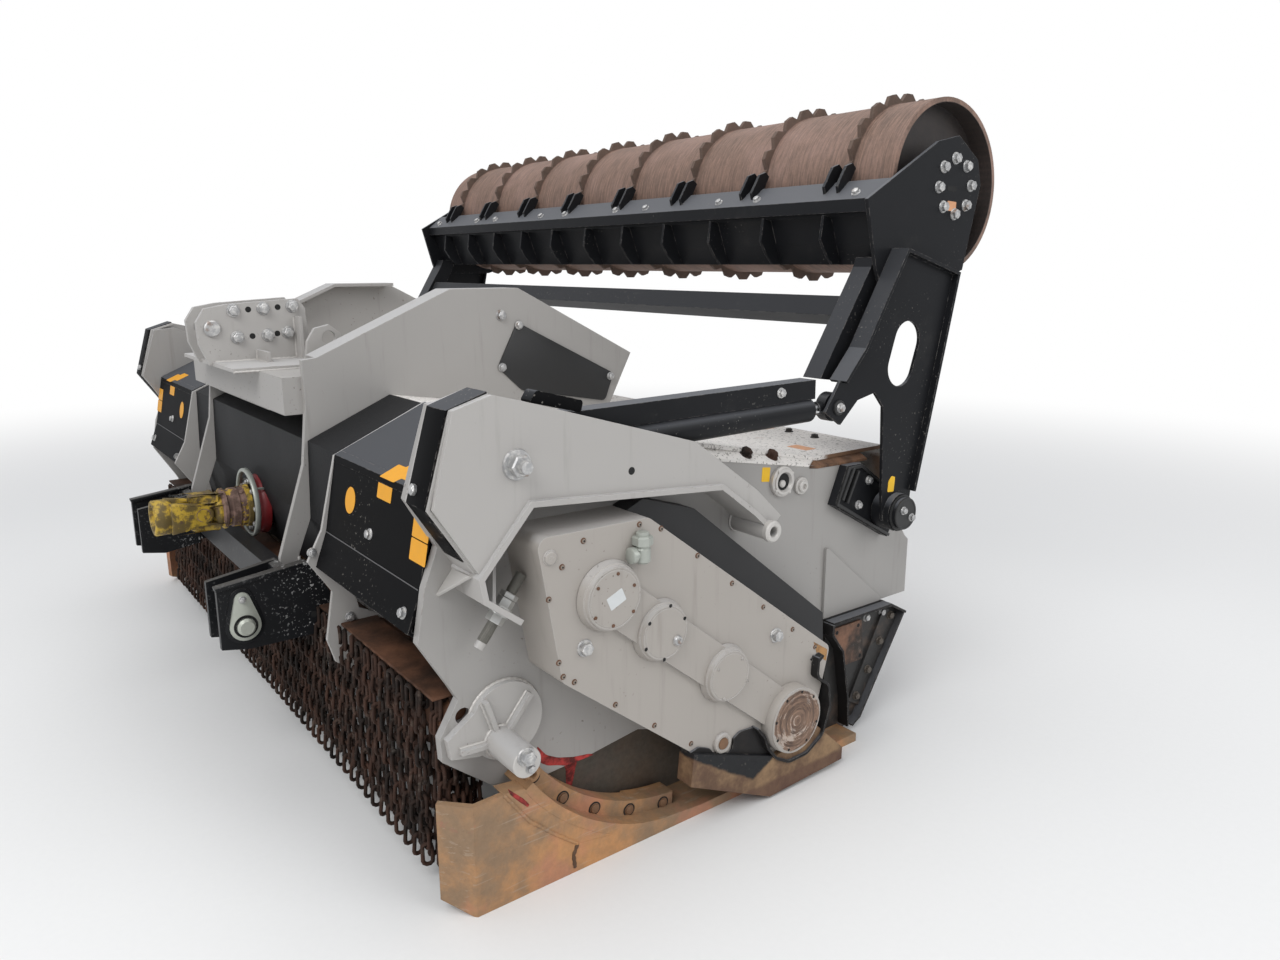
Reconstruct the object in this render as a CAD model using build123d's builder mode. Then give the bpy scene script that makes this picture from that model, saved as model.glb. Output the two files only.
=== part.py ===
from build123d import *
import math
import os

# Forestry mulcher for a tractor's three-point hitch, in millimetres.
# +X is the machine's left, -Y its front (hitch side), +Z up, Z = 0 the skid soles.
# Profiles of plates are (y, z) pairs in the plane across the machine.

os.makedirs("parts", exist_ok=True)

# Clearances
RUNNING = 0.25
MOVING_GAP = 6.0
END_PLAY = 5.0

# Chamber and its plates, as half widths from the centre line
SIDE_X = 1450.0
SIDE_T = 25.0
INSIDE_X = SIDE_X - SIDE_T
CHEEK_X = 560.0
CHEEK_T = 20.0
CHEEK_FLANGE = 80.0
CHEEK_FLANGE_T = 12.0
PANEL_X = 820.0
PANEL_T = 12.0
COVER_T = 8.0
HOOD_T = 12.0

# Guard over the front of each gear case
GUARD_OUT = 120.0
GUARD_T = 12.0
FLANGE_OUT = 132.0
FLANGE_T = 14.0
STRIP_T = 8.0
GUARD_X = SIDE_X + GUARD_OUT
FLANGE_X = SIDE_X + FLANGE_OUT
TUBE_R = 27.0
TUBE_BORE_R = 14.0
STUD_R = 12.0
STUD_OUT = 65.0

# Gear case
CASE_DEPTH = 150.0
CASE_X = SIDE_X + CASE_DEPTH
CASE_CORNER_R = 26.0
RIB_H = 14.0
RIB_R = 58.0
COVER_H = 30.0
SHAFT_SOCKET = 60.0
SEAL_W = 62.0
SHIELD_T = 58.0
SHIELD_END = 18.0

# Skid
SKID_OUT = 100.0
SKID_IN = 45.0
SOLE_R = 633.0
SOLE_T = 28.0
RAIL_T = 40.0
RAIL_OUT = 50.0
SKID_PLATE_T = 15.0
WEB_T = 20.0

# Axes across the machine (y, z)
SWING = (-514.0, 740.0)
ROTOR = (115.0, 233.0)
HINGE = (650.0, 740.0)
ROLLER = (902.0, 1735.0)
CYL_FRONT = (-730.0, 1078.0)
CYL_EYE = (365.0, 1095.0)
SKID_CENTRE = (-199.0, 633.0)
SHAFT_Z = 690.0
PUSH_BAR = (-790.0, 430.0)
PUSH_BAR_R = 75.0

# Rotor
ROTOR_R = 170.0
ROTOR_TIP_R = 225.0
ROTOR_HALF = INSIDE_X - 95.0
ROTOR_SHAFT_R = 45.0
TOOL_COUNT = 36
TOOL_TURN = 100.0
TOOL_W = 48.0

# Roller and its arms
ROLLER_R = 265.0
ROLLER_WALL = 15.0
RING_TIP_R = 295.0
RING_T = 15.0
RING_COUNT = 8
RING_STEP = 370.0
RING_LOBES = 22
END_PLATE_IN = 30.0
END_PLATE_T = 12.0
END_PLATE_X = SIDE_X + END_PLATE_IN
ROLLER_HALF = END_PLATE_X - 20.0
ROLLER_END_IN = 80.0
HUB_R = 95.0
STUB_R = 45.0
HINGE_PIN_R = 30.0
HINGE_BOSS_R = 60.0
ARM_FLANGE_T = 10.0
ARM_FLANGE_W = 62.0
ARM_WEB_T = 10.0
ARM_FLANGE_IN = END_PLATE_X + END_PLATE_T
ARM_FLANGE_OUT = ARM_FLANGE_IN + ARM_FLANGE_W
ARM_WEB_X = ARM_FLANGE_IN + ARM_FLANGE_W / 2
BRACKET_T = 30.0

# Lift cylinders
CYL_OUT = 41.0
CYL_X = SIDE_X + CYL_OUT
CYL_R = 35.0
CYL_BORE_START = 60.0
CYL_EYE_R = 42.0
CYL_EYE_T = 34.0
CYL_PIN_R = 20.0
ROD_R = 20.0
BARREL_END = 1000.0
BEAM_W = 60.0
BEAM_H = 54.0
BEAM_LIFT = 62.0

# Hitch
CLEVIS_IN = 500.0
CLEVIS_OUT = 640.0
CLEVIS_T = 20.0
CLEVIS_PIN = (-1095.0, 500.0)
CLEVIS_PIN_R = 25.0
TOWER_HALF_GAP = 60.0
TOWER_T = 20.0
TOP_LINK = (-972.0, 1299.0)
TOP_LINK_R = 22.5
INPUT_R = 30.0

# Chains before the rotor
CHAIN_COUNT = 34
CHAIN_PITCH = 80.0
CHAIN_LINKS = 4
CHAIN_LINK_L = 66.0
CHAIN_LINK_W = 38.0
CHAIN_WIRE = 11.0

SIDES = (("left", 1.0), ("right", -1.0))


def save(block, name):
    block.part.label = name
    export_step(block.part, "parts/" + name + ".step")
    print(name, len(block.part.solids()), round(block.part.volume))


def profile_at(x):
    return Plane.YZ.offset(x)


def near(axis, offsets):
    """Points placed by their distances behind and above an axis."""
    return [(axis[0] + dy, axis[1] + dz) for dy, dz in offsets]


def add_plate(outline, x_from, x_to, corner=0.0, mode=Mode.ADD):
    """Plate of that outline between two planes across the machine, its corners rounded on request."""
    with BuildSketch(profile_at(min(x_from, x_to))) as sketch:
        Polygon(*outline, align=None)
        if corner > 0:
            fillet(sketch.vertices(), corner)
    extrude(sketch.sketch, amount=abs(x_to - x_from), mode=mode)


def add_disc(axis, radius, x_from, x_to, mode=Mode.ADD):
    """Round boss, pin or bore between two planes across the machine."""
    with BuildSketch(profile_at(min(x_from, x_to))) as sketch:
        with Locations(axis):
            Circle(radius)
    extrude(sketch.sketch, amount=abs(x_to - x_from), mode=mode)


def add_shaft_disc(radius, y_from, y_to, mode=Mode.ADD):
    """Round piece on the drive line, from one distance ahead of the origin back to another."""
    with BuildSketch(Plane.XZ.offset(y_to)) as sketch:
        with Locations((0.0, SHAFT_Z)):
            Circle(radius)
    extrude(sketch.sketch, amount=y_from - y_to, mode=mode)


def thick_line(points, thickness):
    """Closed outline of a folded sheet: the points and their mitred offset to the left."""
    count = len(points)
    shifted = []
    for i in range(count):
        normals = []
        for a, b in ((i - 1, i), (i, i + 1)):
            if a >= 0 and b < count:
                dy = points[b][0] - points[a][0]
                dz = points[b][1] - points[a][1]
                length = math.hypot(dy, dz)
                normals.append((-dz / length, dy / length))
        if len(normals) == 1:
            normals.append(normals[0])
        my = normals[0][0] + normals[1][0]
        mz = normals[0][1] + normals[1][1]
        scale = 2.0 * thickness / (my * my + mz * mz)
        shifted.append((points[i][0] + my * scale, points[i][1] + mz * scale))
    return list(points) + shifted[::-1]


def on_line(a, b, y):
    """Point of the line through two points at a distance behind the origin."""
    return (y, a[1] + (b[1] - a[1]) * (y - a[0]) / (b[0] - a[0]))


def polar(axis, radius, angle):
    """Point at a radius and an angle from an axis, 0 pointing back and 90 up."""
    turn = math.radians(angle)
    return (axis[0] + radius * math.cos(turn), axis[1] + radius * math.sin(turn))


def turned(axis, point, angle):
    """Point given by its distances from an axis, turned about the axis."""
    turn = math.radians(angle)
    dy = point[0] * math.cos(turn) - point[1] * math.sin(turn)
    dz = point[0] * math.sin(turn) + point[1] * math.cos(turn)
    return (axis[0] + dy, axis[1] + dz)


# Hood: one folded sheet from the front wall over the chamber to the rear wall
HOOD_LINE = [
    (-800.0, 560.0),
    (-850.0, 760.0),
    (-840.0, 985.0),
    (-590.0, 1096.0),
    (-65.0, 1013.0),
    (390.0, 918.0),
    (700.0, 918.0),
    (820.0, 600.0),
    (820.0, 420.0),
]
HOOD_OUTER = thick_line(HOOD_LINE, HOOD_T)[len(HOOD_LINE):][::-1]

with BuildPart() as hood:
    add_plate(thick_line(HOOD_LINE, HOOD_T), -INSIDE_X, INSIDE_X)
    add_shaft_disc(84.0, 900.0, 780.0, Mode.SUBTRACT)
save(hood, "hood")

# Side plates, open below where the rotor's bearing passes
SIDE_OUTLINE = [
    (-871.0, 1208.0),
    (-936.0, 1006.0),
    (-869.0, 889.0),
    (-905.0, 796.0),
    (-928.0, 670.0),
    (-853.0, 541.0),
    (-837.0, 510.0),
    (-887.0, 425.0),
    (-884.0, 365.0),
    (-760.0, 262.0),
    (-620.0, 232.0),
    (-461.0, 243.0),
    (-310.0, 264.0),
    (ROTOR[0] - 160.0, 180.0),
    (ROTOR[0] - 75.0, ROTOR[1] - 83.0),
    (ROTOR[0] - 75.0, ROTOR[1] + 67.0),
    (ROTOR[0] + 75.0, ROTOR[1] + 67.0),
    (ROTOR[0] + 75.0, ROTOR[1] - 83.0),
    (ROTOR[0] + 135.0, 200.0),
    (300.0, 340.0),
    (420.0, 407.0),
    (844.0, 407.0),
    (843.0, 594.0),
    (823.0, 611.0),
    (760.0, 700.0),
    (667.0, 800.0),
    (560.0, 905.0),
    (507.0, 905.0),
    (371.0, 909.0),
    (-65.0, 985.0),
    (-600.0, 1110.0),
    (-640.0, 1150.0),
    (-784.0, 1215.0),
]
SIDE_HOLE = (-826.0, 467.0)
PORTS = (((224.0, 894.0 - 24.0), 30.0), ((298.0, 859.0), 18.0))
for side, s in SIDES:
    with BuildPart() as side_plate:
        add_plate(SIDE_OUTLINE, s * INSIDE_X, s * SIDE_X)
        add_disc(SIDE_HOLE, 20.0, s * INSIDE_X, s * SIDE_X, Mode.SUBTRACT)
        for centre, radius in PORTS:
            add_disc(centre, radius, s * SIDE_X, s * (SIDE_X + STRIP_T))
    save(side_plate, side + "_side_plate")

# Guards: outer plate, flange under it, closing strip, boss tube, cylinder pin, adjusting stud
GUARD_OUTLINE = [
    (-876.0, 1208.0),
    (-784.0, 1234.0),
    (-719.0, 1217.0),
    (-218.0, 1069.0),
    (4.0, 910.0),
    (94.0, 827.0),
    (50.0, 790.0),
    (-15.0, 846.0),
    (-135.0, 935.0),
    (-697.0, 979.0),
    (-823.0, 836.0),
    (-929.0, 1006.0),
]
LUG_END = (-730.0, 724.0)
LUG_ROOT = (-815.0, 790.0)
FLANGE_LINE = [
    LUG_END,
    LUG_ROOT,
    (-823.0, 836.0),
    (-697.0, 979.0),
    (-135.0, 935.0),
    (-15.0, 846.0),
    (35.0, 801.0),
]
STRIP_LINE = [(-784.0, 1228.0), (-871.0, 1202.0), (-930.0, 1006.0), (-826.0, 846.0)]
GUARD_TUBE = (42.0, 795.0)
lug_length = math.hypot(LUG_END[0] - LUG_ROOT[0], LUG_END[1] - LUG_ROOT[1])
lug_dy = (LUG_END[0] - LUG_ROOT[0]) / lug_length
lug_dz = (LUG_END[1] - LUG_ROOT[1]) / lug_length
for side, s in SIDES:
    with BuildPart() as guard:
        add_plate(GUARD_OUTLINE, s * (GUARD_X - GUARD_T), s * GUARD_X)
        add_plate(thick_line(FLANGE_LINE, FLANGE_T), s * SIDE_X, s * FLANGE_X)
        add_plate(thick_line(STRIP_LINE, -STRIP_T), s * SIDE_X, s * (GUARD_X - GUARD_T))
        add_disc(CYL_FRONT, CYL_PIN_R, s * SIDE_X, s * (GUARD_X - GUARD_T))
        add_disc(GUARD_TUBE, TUBE_R, s * SIDE_X, s * (FLANGE_X + 10.0))
        add_disc(
            GUARD_TUBE, TUBE_BORE_R, s * (SIDE_X + 40.0), s * (FLANGE_X + 10.0), Mode.SUBTRACT
        )
        stud_plane = Plane(
            origin=(
                s * (SIDE_X + STUD_OUT),
                LUG_ROOT[0] + 84.0 * lug_dy,
                LUG_ROOT[1] + 84.0 * lug_dz,
            ),
            x_dir=(1, 0, 0),
            z_dir=(0, -lug_dz, lug_dy),
        )
        with BuildSketch(stud_plane.offset(-105.0)):
            Circle(STUD_R)
        extrude(amount=172.0)
        rib_plane = Plane(
            origin=(
                s * SIDE_X,
                LUG_ROOT[0] + 30.0 * lug_dy,
                LUG_ROOT[1] + 30.0 * lug_dz,
            ),
            x_dir=(1, 0, 0),
            z_dir=(0, lug_dy, lug_dz),
        )
        with BuildSketch(rib_plane):
            Polygon((0.0, 8.0), (s * 118.0, 8.0), (0.0, -105.0), align=None)
        extrude(amount=5.0, both=True)
    save(guard, side + "_guard")

# Cheeks of the hitch frame, their front and top edges turned inwards
CHEEK_TOP = [(-851.0, 1229.0), (-807.0, 1234.0), (-373.0, 1423.0), (-126.0, 1423.0)]
CHEEK_REAR = [(339.0, 1185.0), (245.0, 1009.0), on_line(HOOD_OUTER[4], HOOD_OUTER[5], 245.0)]
CHEEK_FRONT = [
    (-905.0, 651.0),
    (-905.0, 480.0),
    (-960.0, 480.0),
    (-960.0, 651.0),
    (-870.0, 922.0),
    (-849.0, 1101.0),
]
CHEEK_OUTLINE = CHEEK_TOP + CHEEK_REAR + HOOD_OUTER[4:0:-1] + CHEEK_FRONT
for side, s in SIDES:
    with BuildPart() as cheek:
        add_plate(CHEEK_OUTLINE, s * (CHEEK_X - CHEEK_T), s * CHEEK_X)
        add_plate(
            thick_line(CHEEK_TOP[1:], -CHEEK_FLANGE_T),
            s * (CHEEK_X - CHEEK_T - CHEEK_FLANGE),
            s * (CHEEK_X - CHEEK_T),
        )
    save(cheek, side + "_cheek")

# Front frame between the cheeks: upper box beam and lower bar
UPPER_BEAM = (-905.0, 1070.0, 205.0, 110.0)
LOWER_BAR = (-960.0, 490.0, 55.0, 100.0)
with BuildPart() as front_frame:
    for y, z, depth, height in (UPPER_BEAM, LOWER_BAR):
        add_plate(
            [(y, z), (y, z + height), (y + depth, z + height), (y + depth, z)],
            -(CHEEK_X - CHEEK_T),
            CHEEK_X - CHEEK_T,
        )
    add_plate(
        [(-880.0, 1055.0), (-720.0, 1055.0), (-720.0, 1070.0), (-880.0, 1070.0)],
        -300.0,
        300.0,
    )
save(front_frame, "front_frame")

# Top-link tower on the upper beam: two plates, foot, gussets and lifting eyes
TOWER_TOP = UPPER_BEAM[1] + UPPER_BEAM[3]
TOWER_OUTLINE = [
    (TOP_LINK[0] - 17.0, TOWER_TOP + 2.0),
    (TOP_LINK[0] - 43.0, TOP_LINK[1] - 49.0),
    (TOP_LINK[0] - 46.0, TOP_LINK[1] + 21.0),
    (TOP_LINK[0] - 18.0, TOP_LINK[1] + 63.0),
    (TOP_LINK[0] + 48.0, TOP_LINK[1] + 75.0),
    (-695.0, 1388.0),
    (-672.0, 1355.0),
    (-668.0, 1237.0),
    (-700.0, TOWER_TOP),
]
FOOT_T = 12.0
with BuildPart() as tower:
    for s in (1.0, -1.0):
        add_plate(TOWER_OUTLINE, s * TOWER_HALF_GAP, s * (TOWER_HALF_GAP + TOWER_T))
        add_disc(
            TOP_LINK,
            TOP_LINK_R,
            s * TOWER_HALF_GAP,
            s * (TOWER_HALF_GAP + TOWER_T),
            Mode.SUBTRACT,
        )
        add_plate(
            [(-840.0, TOWER_TOP), (-840.0, 1225.0), (-828.0, 1225.0), (-828.0, TOWER_TOP)],
            s * (TOWER_HALF_GAP + TOWER_T),
            s * 190.0,
        )
        add_plate(
            [(-712.0, TOWER_TOP), (-712.0, 1330.0), (-700.0, 1330.0), (-700.0, TOWER_TOP)],
            s * (TOWER_HALF_GAP + TOWER_T),
            s * 130.0,
        )
        add_plate(
            [
                (-760.0, TOWER_TOP),
                (-748.0, 1262.0),
                (-722.0, 1302.0),
                (-676.0, 1312.0),
                (-640.0, 1285.0),
                (-636.0, 1240.0),
                (-702.0, TOWER_TOP),
            ],
            s * 292.0,
            s * 308.0,
        )
        add_disc((-678.0, 1271.0), 22.0, s * 292.0, s * 308.0, Mode.SUBTRACT)
    add_plate(
        [
            (-980.0, TOWER_TOP),
            (-980.0, TOWER_TOP + FOOT_T),
            (-702.0, TOWER_TOP + FOOT_T),
            (-702.0, TOWER_TOP),
        ],
        -320.0,
        320.0,
    )
save(tower, "top_link_tower")

# Lower hitch clevises: two ears, back plate and pin with its head
for side, s in SIDES:
    with BuildPart() as hitch:
        for x_in, front_top in ((CLEVIS_IN, 608.0), (CLEVIS_OUT - CLEVIS_T, 618.0)):
            add_plate(
                [
                    (-1161.0, front_top),
                    (-1162.0, 440.0),
                    (CLEVIS_PIN[0] + 10.0, CLEVIS_PIN[1] - 74.0),
                    (-900.0, 426.0),
                    (-833.0, 524.0),
                    (-906.0, 651.0),
                ]
                if x_in > CHEEK_X
                else [
                    (-1161.0, front_top),
                    (-1162.0, 440.0),
                    (CLEVIS_PIN[0] + 10.0, CLEVIS_PIN[1] - 74.0),
                    (-960.0, 445.0),
                    (-960.0, 640.0),
                ],
                s * x_in,
                s * (x_in + CLEVIS_T),
            )
        add_plate(
            [(-985.0, 443.0), (-960.0, 445.0), (-960.0, 640.0), (-985.0, 632.0)],
            s * (CLEVIS_IN + CLEVIS_T),
            s * (CLEVIS_OUT - CLEVIS_T),
        )
        add_disc(
            CLEVIS_PIN, CLEVIS_PIN_R, s * (CLEVIS_IN + CLEVIS_T), s * (CLEVIS_OUT - CLEVIS_T)
        )
        add_disc(CLEVIS_PIN, CLEVIS_PIN_R, s * CLEVIS_OUT, s * (CLEVIS_OUT + 16.0))
    save(hitch, side + "_hitch_clevis")

# Block of the central gearbox, closed inside, with the tubes of its cross shafts
CROSS_TUBE_R = 90.0
NOSE_R = 78.0
GEARBOX_HALF = 220.0
with BuildPart() as gearbox:
    add_plate(
        [
            (-800.0, 600.0),
            (-838.0, 890.0),
            (-700.0, 960.0),
            (-500.0, 960.0),
            (-400.0, 880.0),
            (-400.0, 600.0),
        ],
        -GEARBOX_HALF,
        GEARBOX_HALF,
    )
    for s in (1.0, -1.0):
        add_disc(SWING, CROSS_TUBE_R, s * GEARBOX_HALF, s * INSIDE_X)
    add_shaft_disc(NOSE_R, 880.0, 805.0)
    add_shaft_disc(INPUT_R + RUNNING, 880.0, 820.0, Mode.SUBTRACT)
save(gearbox, "centre_gearbox")

# Drive shaft end on one axis: shaft, bell, guard ring, clutch, yoke and cross
with BuildPart() as input_shaft:
    add_shaft_disc(INPUT_R, 905.0, 825.0)
    add_shaft_disc(75.0, 990.0, 900.0)
    with BuildSketch(Plane.XZ.offset(885.0)):
        with Locations((0.0, SHAFT_Z)):
            Circle(62.0)
    with BuildSketch(Plane.XZ.offset(900.0)):
        with Locations((0.0, SHAFT_Z)):
            Circle(75.0)
    loft()
    for z in (-38.0, 38.0):
        with BuildSketch(Plane.XY.offset(SHAFT_Z + z - 11.0)):
            Polygon(
                (-55.0, -985.0),
                (-34.0, -1062.0),
                (-14.0, -1084.0),
                (14.0, -1084.0),
                (34.0, -1062.0),
                (55.0, -985.0),
                align=None,
            )
        extrude(amount=22.0)
    for x in (-38.0, 38.0):
        with BuildSketch(Plane.YZ.offset(x - 11.0)):
            Polygon(
                (-1150.0, SHAFT_Z - 55.0),
                (-1062.0, SHAFT_Z - 34.0),
                (-1040.0, SHAFT_Z - 14.0),
                (-1040.0, SHAFT_Z + 14.0),
                (-1062.0, SHAFT_Z + 34.0),
                (-1150.0, SHAFT_Z + 55.0),
                align=None,
            )
        extrude(amount=22.0)
    with BuildSketch(Plane.XZ.offset(1140.0)):
        with Locations((0.0, SHAFT_Z)):
            RegularPolygon(60.0, 12)
    extrude(amount=57.0)
    with BuildSketch(Plane.XZ.offset(1048.0)):
        with Locations((0.0, SHAFT_Z)):
            Rectangle(98.0, 28.0)
            Rectangle(28.0, 98.0)
    extrude(amount=28.0)
save(input_shaft, "input_shaft")

# Front covers between panel and side plate, and the panels that end them
PANEL_OUTLINE = (
    [(-961.0, 706.0), (-916.0, 789.0), (-866.0, 992.0), (-590.0, 1116.0)]
    + HOOD_OUTER[3:0:-1]
    + [
        (-845.0, 640.0),
        (-828.0, 545.0),
        (PUSH_BAR[0] + 50.0, PUSH_BAR[1] + 70.0),
        (PUSH_BAR[0] + 65.0, PUSH_BAR[1]),
        (PUSH_BAR[0] + 30.0, PUSH_BAR[1] - 65.0),
        (PUSH_BAR[0] - 60.0, PUSH_BAR[1] - 70.0),
        (PUSH_BAR[0] - 115.0, PUSH_BAR[1] - 30.0),
        (PUSH_BAR[0] - 135.0, PUSH_BAR[1] + 40.0),
        (PUSH_BAR[0] - 110.0, PUSH_BAR[1] + 180.0),
    ]
)
COVER_LINE = [(-846.0, 640.0), (-940.0, 690.0), (-905.0, 785.0), (-866.0, 985.0)]
for side, s in SIDES:
    with BuildPart() as panel:
        add_plate(PANEL_OUTLINE, s * (PANEL_X - PANEL_T), s * PANEL_X)
    save(panel, side + "_panel")
    with BuildPart() as cover:
        add_plate(thick_line(COVER_LINE, -COVER_T), s * PANEL_X, s * INSIDE_X)
        add_plate(
            thick_line([HOOD_OUTER[2], HOOD_OUTER[3]], COVER_T), s * PANEL_X, s * INSIDE_X
        )
    save(cover, side + "_front_cover")

# Push bars, from the panels' ends to the side plates
with BuildPart() as push_bar:
    for s in (1.0, -1.0):
        add_disc(PUSH_BAR, PUSH_BAR_R, s * PANEL_X, s * INSIDE_X)
save(push_bar, "push_bar")

# Chains: each strand shows its links flat and edge-on in turn
CHAIN_STRIP_T = 8.0
CHAIN_TOP = PUSH_BAR[1] + PUSH_BAR_R
CHAIN_Y = PUSH_BAR[0] - PUSH_BAR_R - 20.0
# The strip that carries them lies between the clevis ears, from these to the panels, and beyond
CHAIN_SPANS = (
    (-(CLEVIS_OUT - CLEVIS_T), CLEVIS_OUT - CLEVIS_T),
    (CLEVIS_OUT, PANEL_X - PANEL_T),
    (PANEL_X, INSIDE_X - 2 * END_PLAY),
    (-CLEVIS_OUT, -(PANEL_X - PANEL_T)),
    (-PANEL_X, -(INSIDE_X - 2 * END_PLAY)),
)
with BuildPart() as chains:
    for span_from, span_to in CHAIN_SPANS:
        add_plate(
            [
                (CHAIN_Y, CHAIN_TOP),
                (CHAIN_Y, CHAIN_TOP + CHAIN_STRIP_T),
                (PUSH_BAR[0] + 10.0, CHAIN_TOP + CHAIN_STRIP_T),
                (PUSH_BAR[0] + 10.0, CHAIN_TOP),
            ],
            span_from,
            span_to,
        )
    right_edge = []
    for i in range(CHAIN_LINKS):
        z = CHAIN_TOP + 2.0 - i * (CHAIN_LINK_L + 40.0)
        right_edge += [
            (CHAIN_WIRE / 2, z),
            (CHAIN_WIRE / 2, z - 40.0),
            (CHAIN_LINK_W / 2, z - 52.0),
            (CHAIN_LINK_W / 2, z - CHAIN_LINK_L - 28.0),
        ]
    strand = right_edge + [(-x, z) for x, z in right_edge[::-1]]
    with BuildSketch(Plane.XZ.offset(-CHAIN_Y - CHAIN_WIRE)):
        with GridLocations(CHAIN_PITCH, 0.0, CHAIN_COUNT, 1):
            Polygon(*strand, align=None)
    extrude(amount=CHAIN_WIRE)
save(chains, "chain_curtain")

# Skids: curved sole, bolted rail above it, web behind the side plate, turned-in front plate
SKID_X = SIDE_X + SKID_OUT
SOLE_ANGLES = (214.0, 234.0, 254.0)
SKID_FRONT = -921.0
SKID_REAR = 500.0
WEB_OUTLINE = [
    (-690.0, 330.0),
    (-640.0, 160.0),
    (-480.0, 50.0),
    (-300.0, SOLE_T - 4.0),
    (-80.0, SOLE_T - 4.0),
    (-60.0, 190.0),
    (-250.0, 300.0),
    (-461.0, 300.0),
]
PLATE_SIDE = [
    (-960.0, 285.0),
    (-781.0, 292.0),
    (-714.0, 196.0),
    (-640.0, 129.0),
    (-577.0, 78.0),
    (-560.0, 0.0),
    (-866.0, 0.0),
    (-960.0, 60.0),
]
for side, s in SIDES:
    with BuildPart() as skid:
        for r_out, r_in, x_out in (
            (SOLE_R, SOLE_R - SOLE_T, SKID_X),
            (SOLE_R - SOLE_T, SOLE_R - SOLE_T - RAIL_T, SIDE_X + RAIL_OUT),
        ):
            outer = [polar(SKID_CENTRE, r_out, a) for a in SOLE_ANGLES]
            inner = [polar(SKID_CENTRE, r_in, a) for a in SOLE_ANGLES]
            with BuildSketch(profile_at(min(s * SIDE_X, s * x_out))):
                with BuildLine():
                    ThreePointArc(*outer)
                    Line(outer[2], inner[2])
                    ThreePointArc(*inner[::-1])
                    Line(inner[0], outer[0])
                make_face()
            extrude(amount=x_out - SIDE_X)
        low = polar(SKID_CENTRE, SOLE_R, SOLE_ANGLES[2])
        high = polar(SKID_CENTRE, SOLE_R - SOLE_T, SOLE_ANGLES[2])
        add_plate(
            [low, (-310.0, 0.0), (SKID_REAR, 0.0), (SKID_REAR, SOLE_T), (-250.0, SOLE_T), high],
            s * (SIDE_X - SKID_IN),
            s * SKID_X,
        )
        add_plate(
            [
                (-640.0, 129.0),
                (-577.0, 78.0),
                (-398.0, 46.0),
                (-167.0, SOLE_T),
                (-167.0, 0.0),
                (-620.0, 0.0),
                (-680.0, 60.0),
            ],
            s * (SIDE_X + RAIL_OUT),
            s * SKID_X,
        )
        add_plate(WEB_OUTLINE, s * (SIDE_X - SKID_IN), s * (SIDE_X - SKID_IN + WEB_T))
        with BuildPart(mode=Mode.PRIVATE) as front_plate:
            with BuildSketch(Plane.XY):
                Polygon(
                    (s * SKID_X, -560.0),
                    (s * SKID_X, -860.0),
                    (s * (SKID_X - 69.0), SKID_FRONT),
                    (s * (SKID_X - 69.0 - 0.75 * SKID_PLATE_T), SKID_FRONT + 0.75 * SKID_PLATE_T),
                    (s * (SKID_X - SKID_PLATE_T), -853.0),
                    (s * (SKID_X - SKID_PLATE_T), -560.0),
                    align=None,
                )
            extrude(amount=320.0)
            add_plate(PLATE_SIDE, s * SIDE_X, s * (SKID_X + 10.0), 0.0, Mode.INTERSECT)
        add(front_plate.part)
    save(skid, side + "_skid")

    # Support pads: disc and arm, ribs, stub tube
    PAD_T = 20.0
    PAD_CENTRE = (-720.0, 429.0)
    PAD_R = 98.0
    STUB_ROOT = (-745.0, 386.0)
    STUB_TUBE_R = 37.0
    STUB_OUT = 150.0
    with BuildPart() as pad:
        with BuildSketch(profile_at(min(s * SIDE_X, s * (SIDE_X + PAD_T)))):
            with Locations(PAD_CENTRE):
                Circle(PAD_R)
            Polygon(
                (-798.0, 480.0),
                (-878.0, 425.0),
                (-870.0, 375.0),
                (-797.0, 360.0),
                (-700.0, 370.0),
                align=None,
            )
        extrude(amount=PAD_T)
        add_disc(STUB_ROOT, STUB_TUBE_R, s * (SIDE_X + PAD_T), s * (SIDE_X + STUB_OUT))
        for tip in ((-783.0, 500.0), (-660.0, 488.0), (-850.0, 392.0)):
            length = math.hypot(tip[0] - STUB_ROOT[0], tip[1] - STUB_ROOT[1])
            dy = 6.0 * (tip[1] - STUB_ROOT[1]) / length
            dz = -6.0 * (tip[0] - STUB_ROOT[0]) / length
            add_plate(
                [
                    (STUB_ROOT[0] + dy, STUB_ROOT[1] + dz),
                    (tip[0] + dy, tip[1] + dz),
                    (tip[0] - dy, tip[1] - dz),
                    (STUB_ROOT[0] - dy, STUB_ROOT[1] - dz),
                ],
                s * (SIDE_X + PAD_T),
                s * (SIDE_X + PAD_T + 18.0),
            )
    save(pad, side + "_support_pad")

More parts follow.
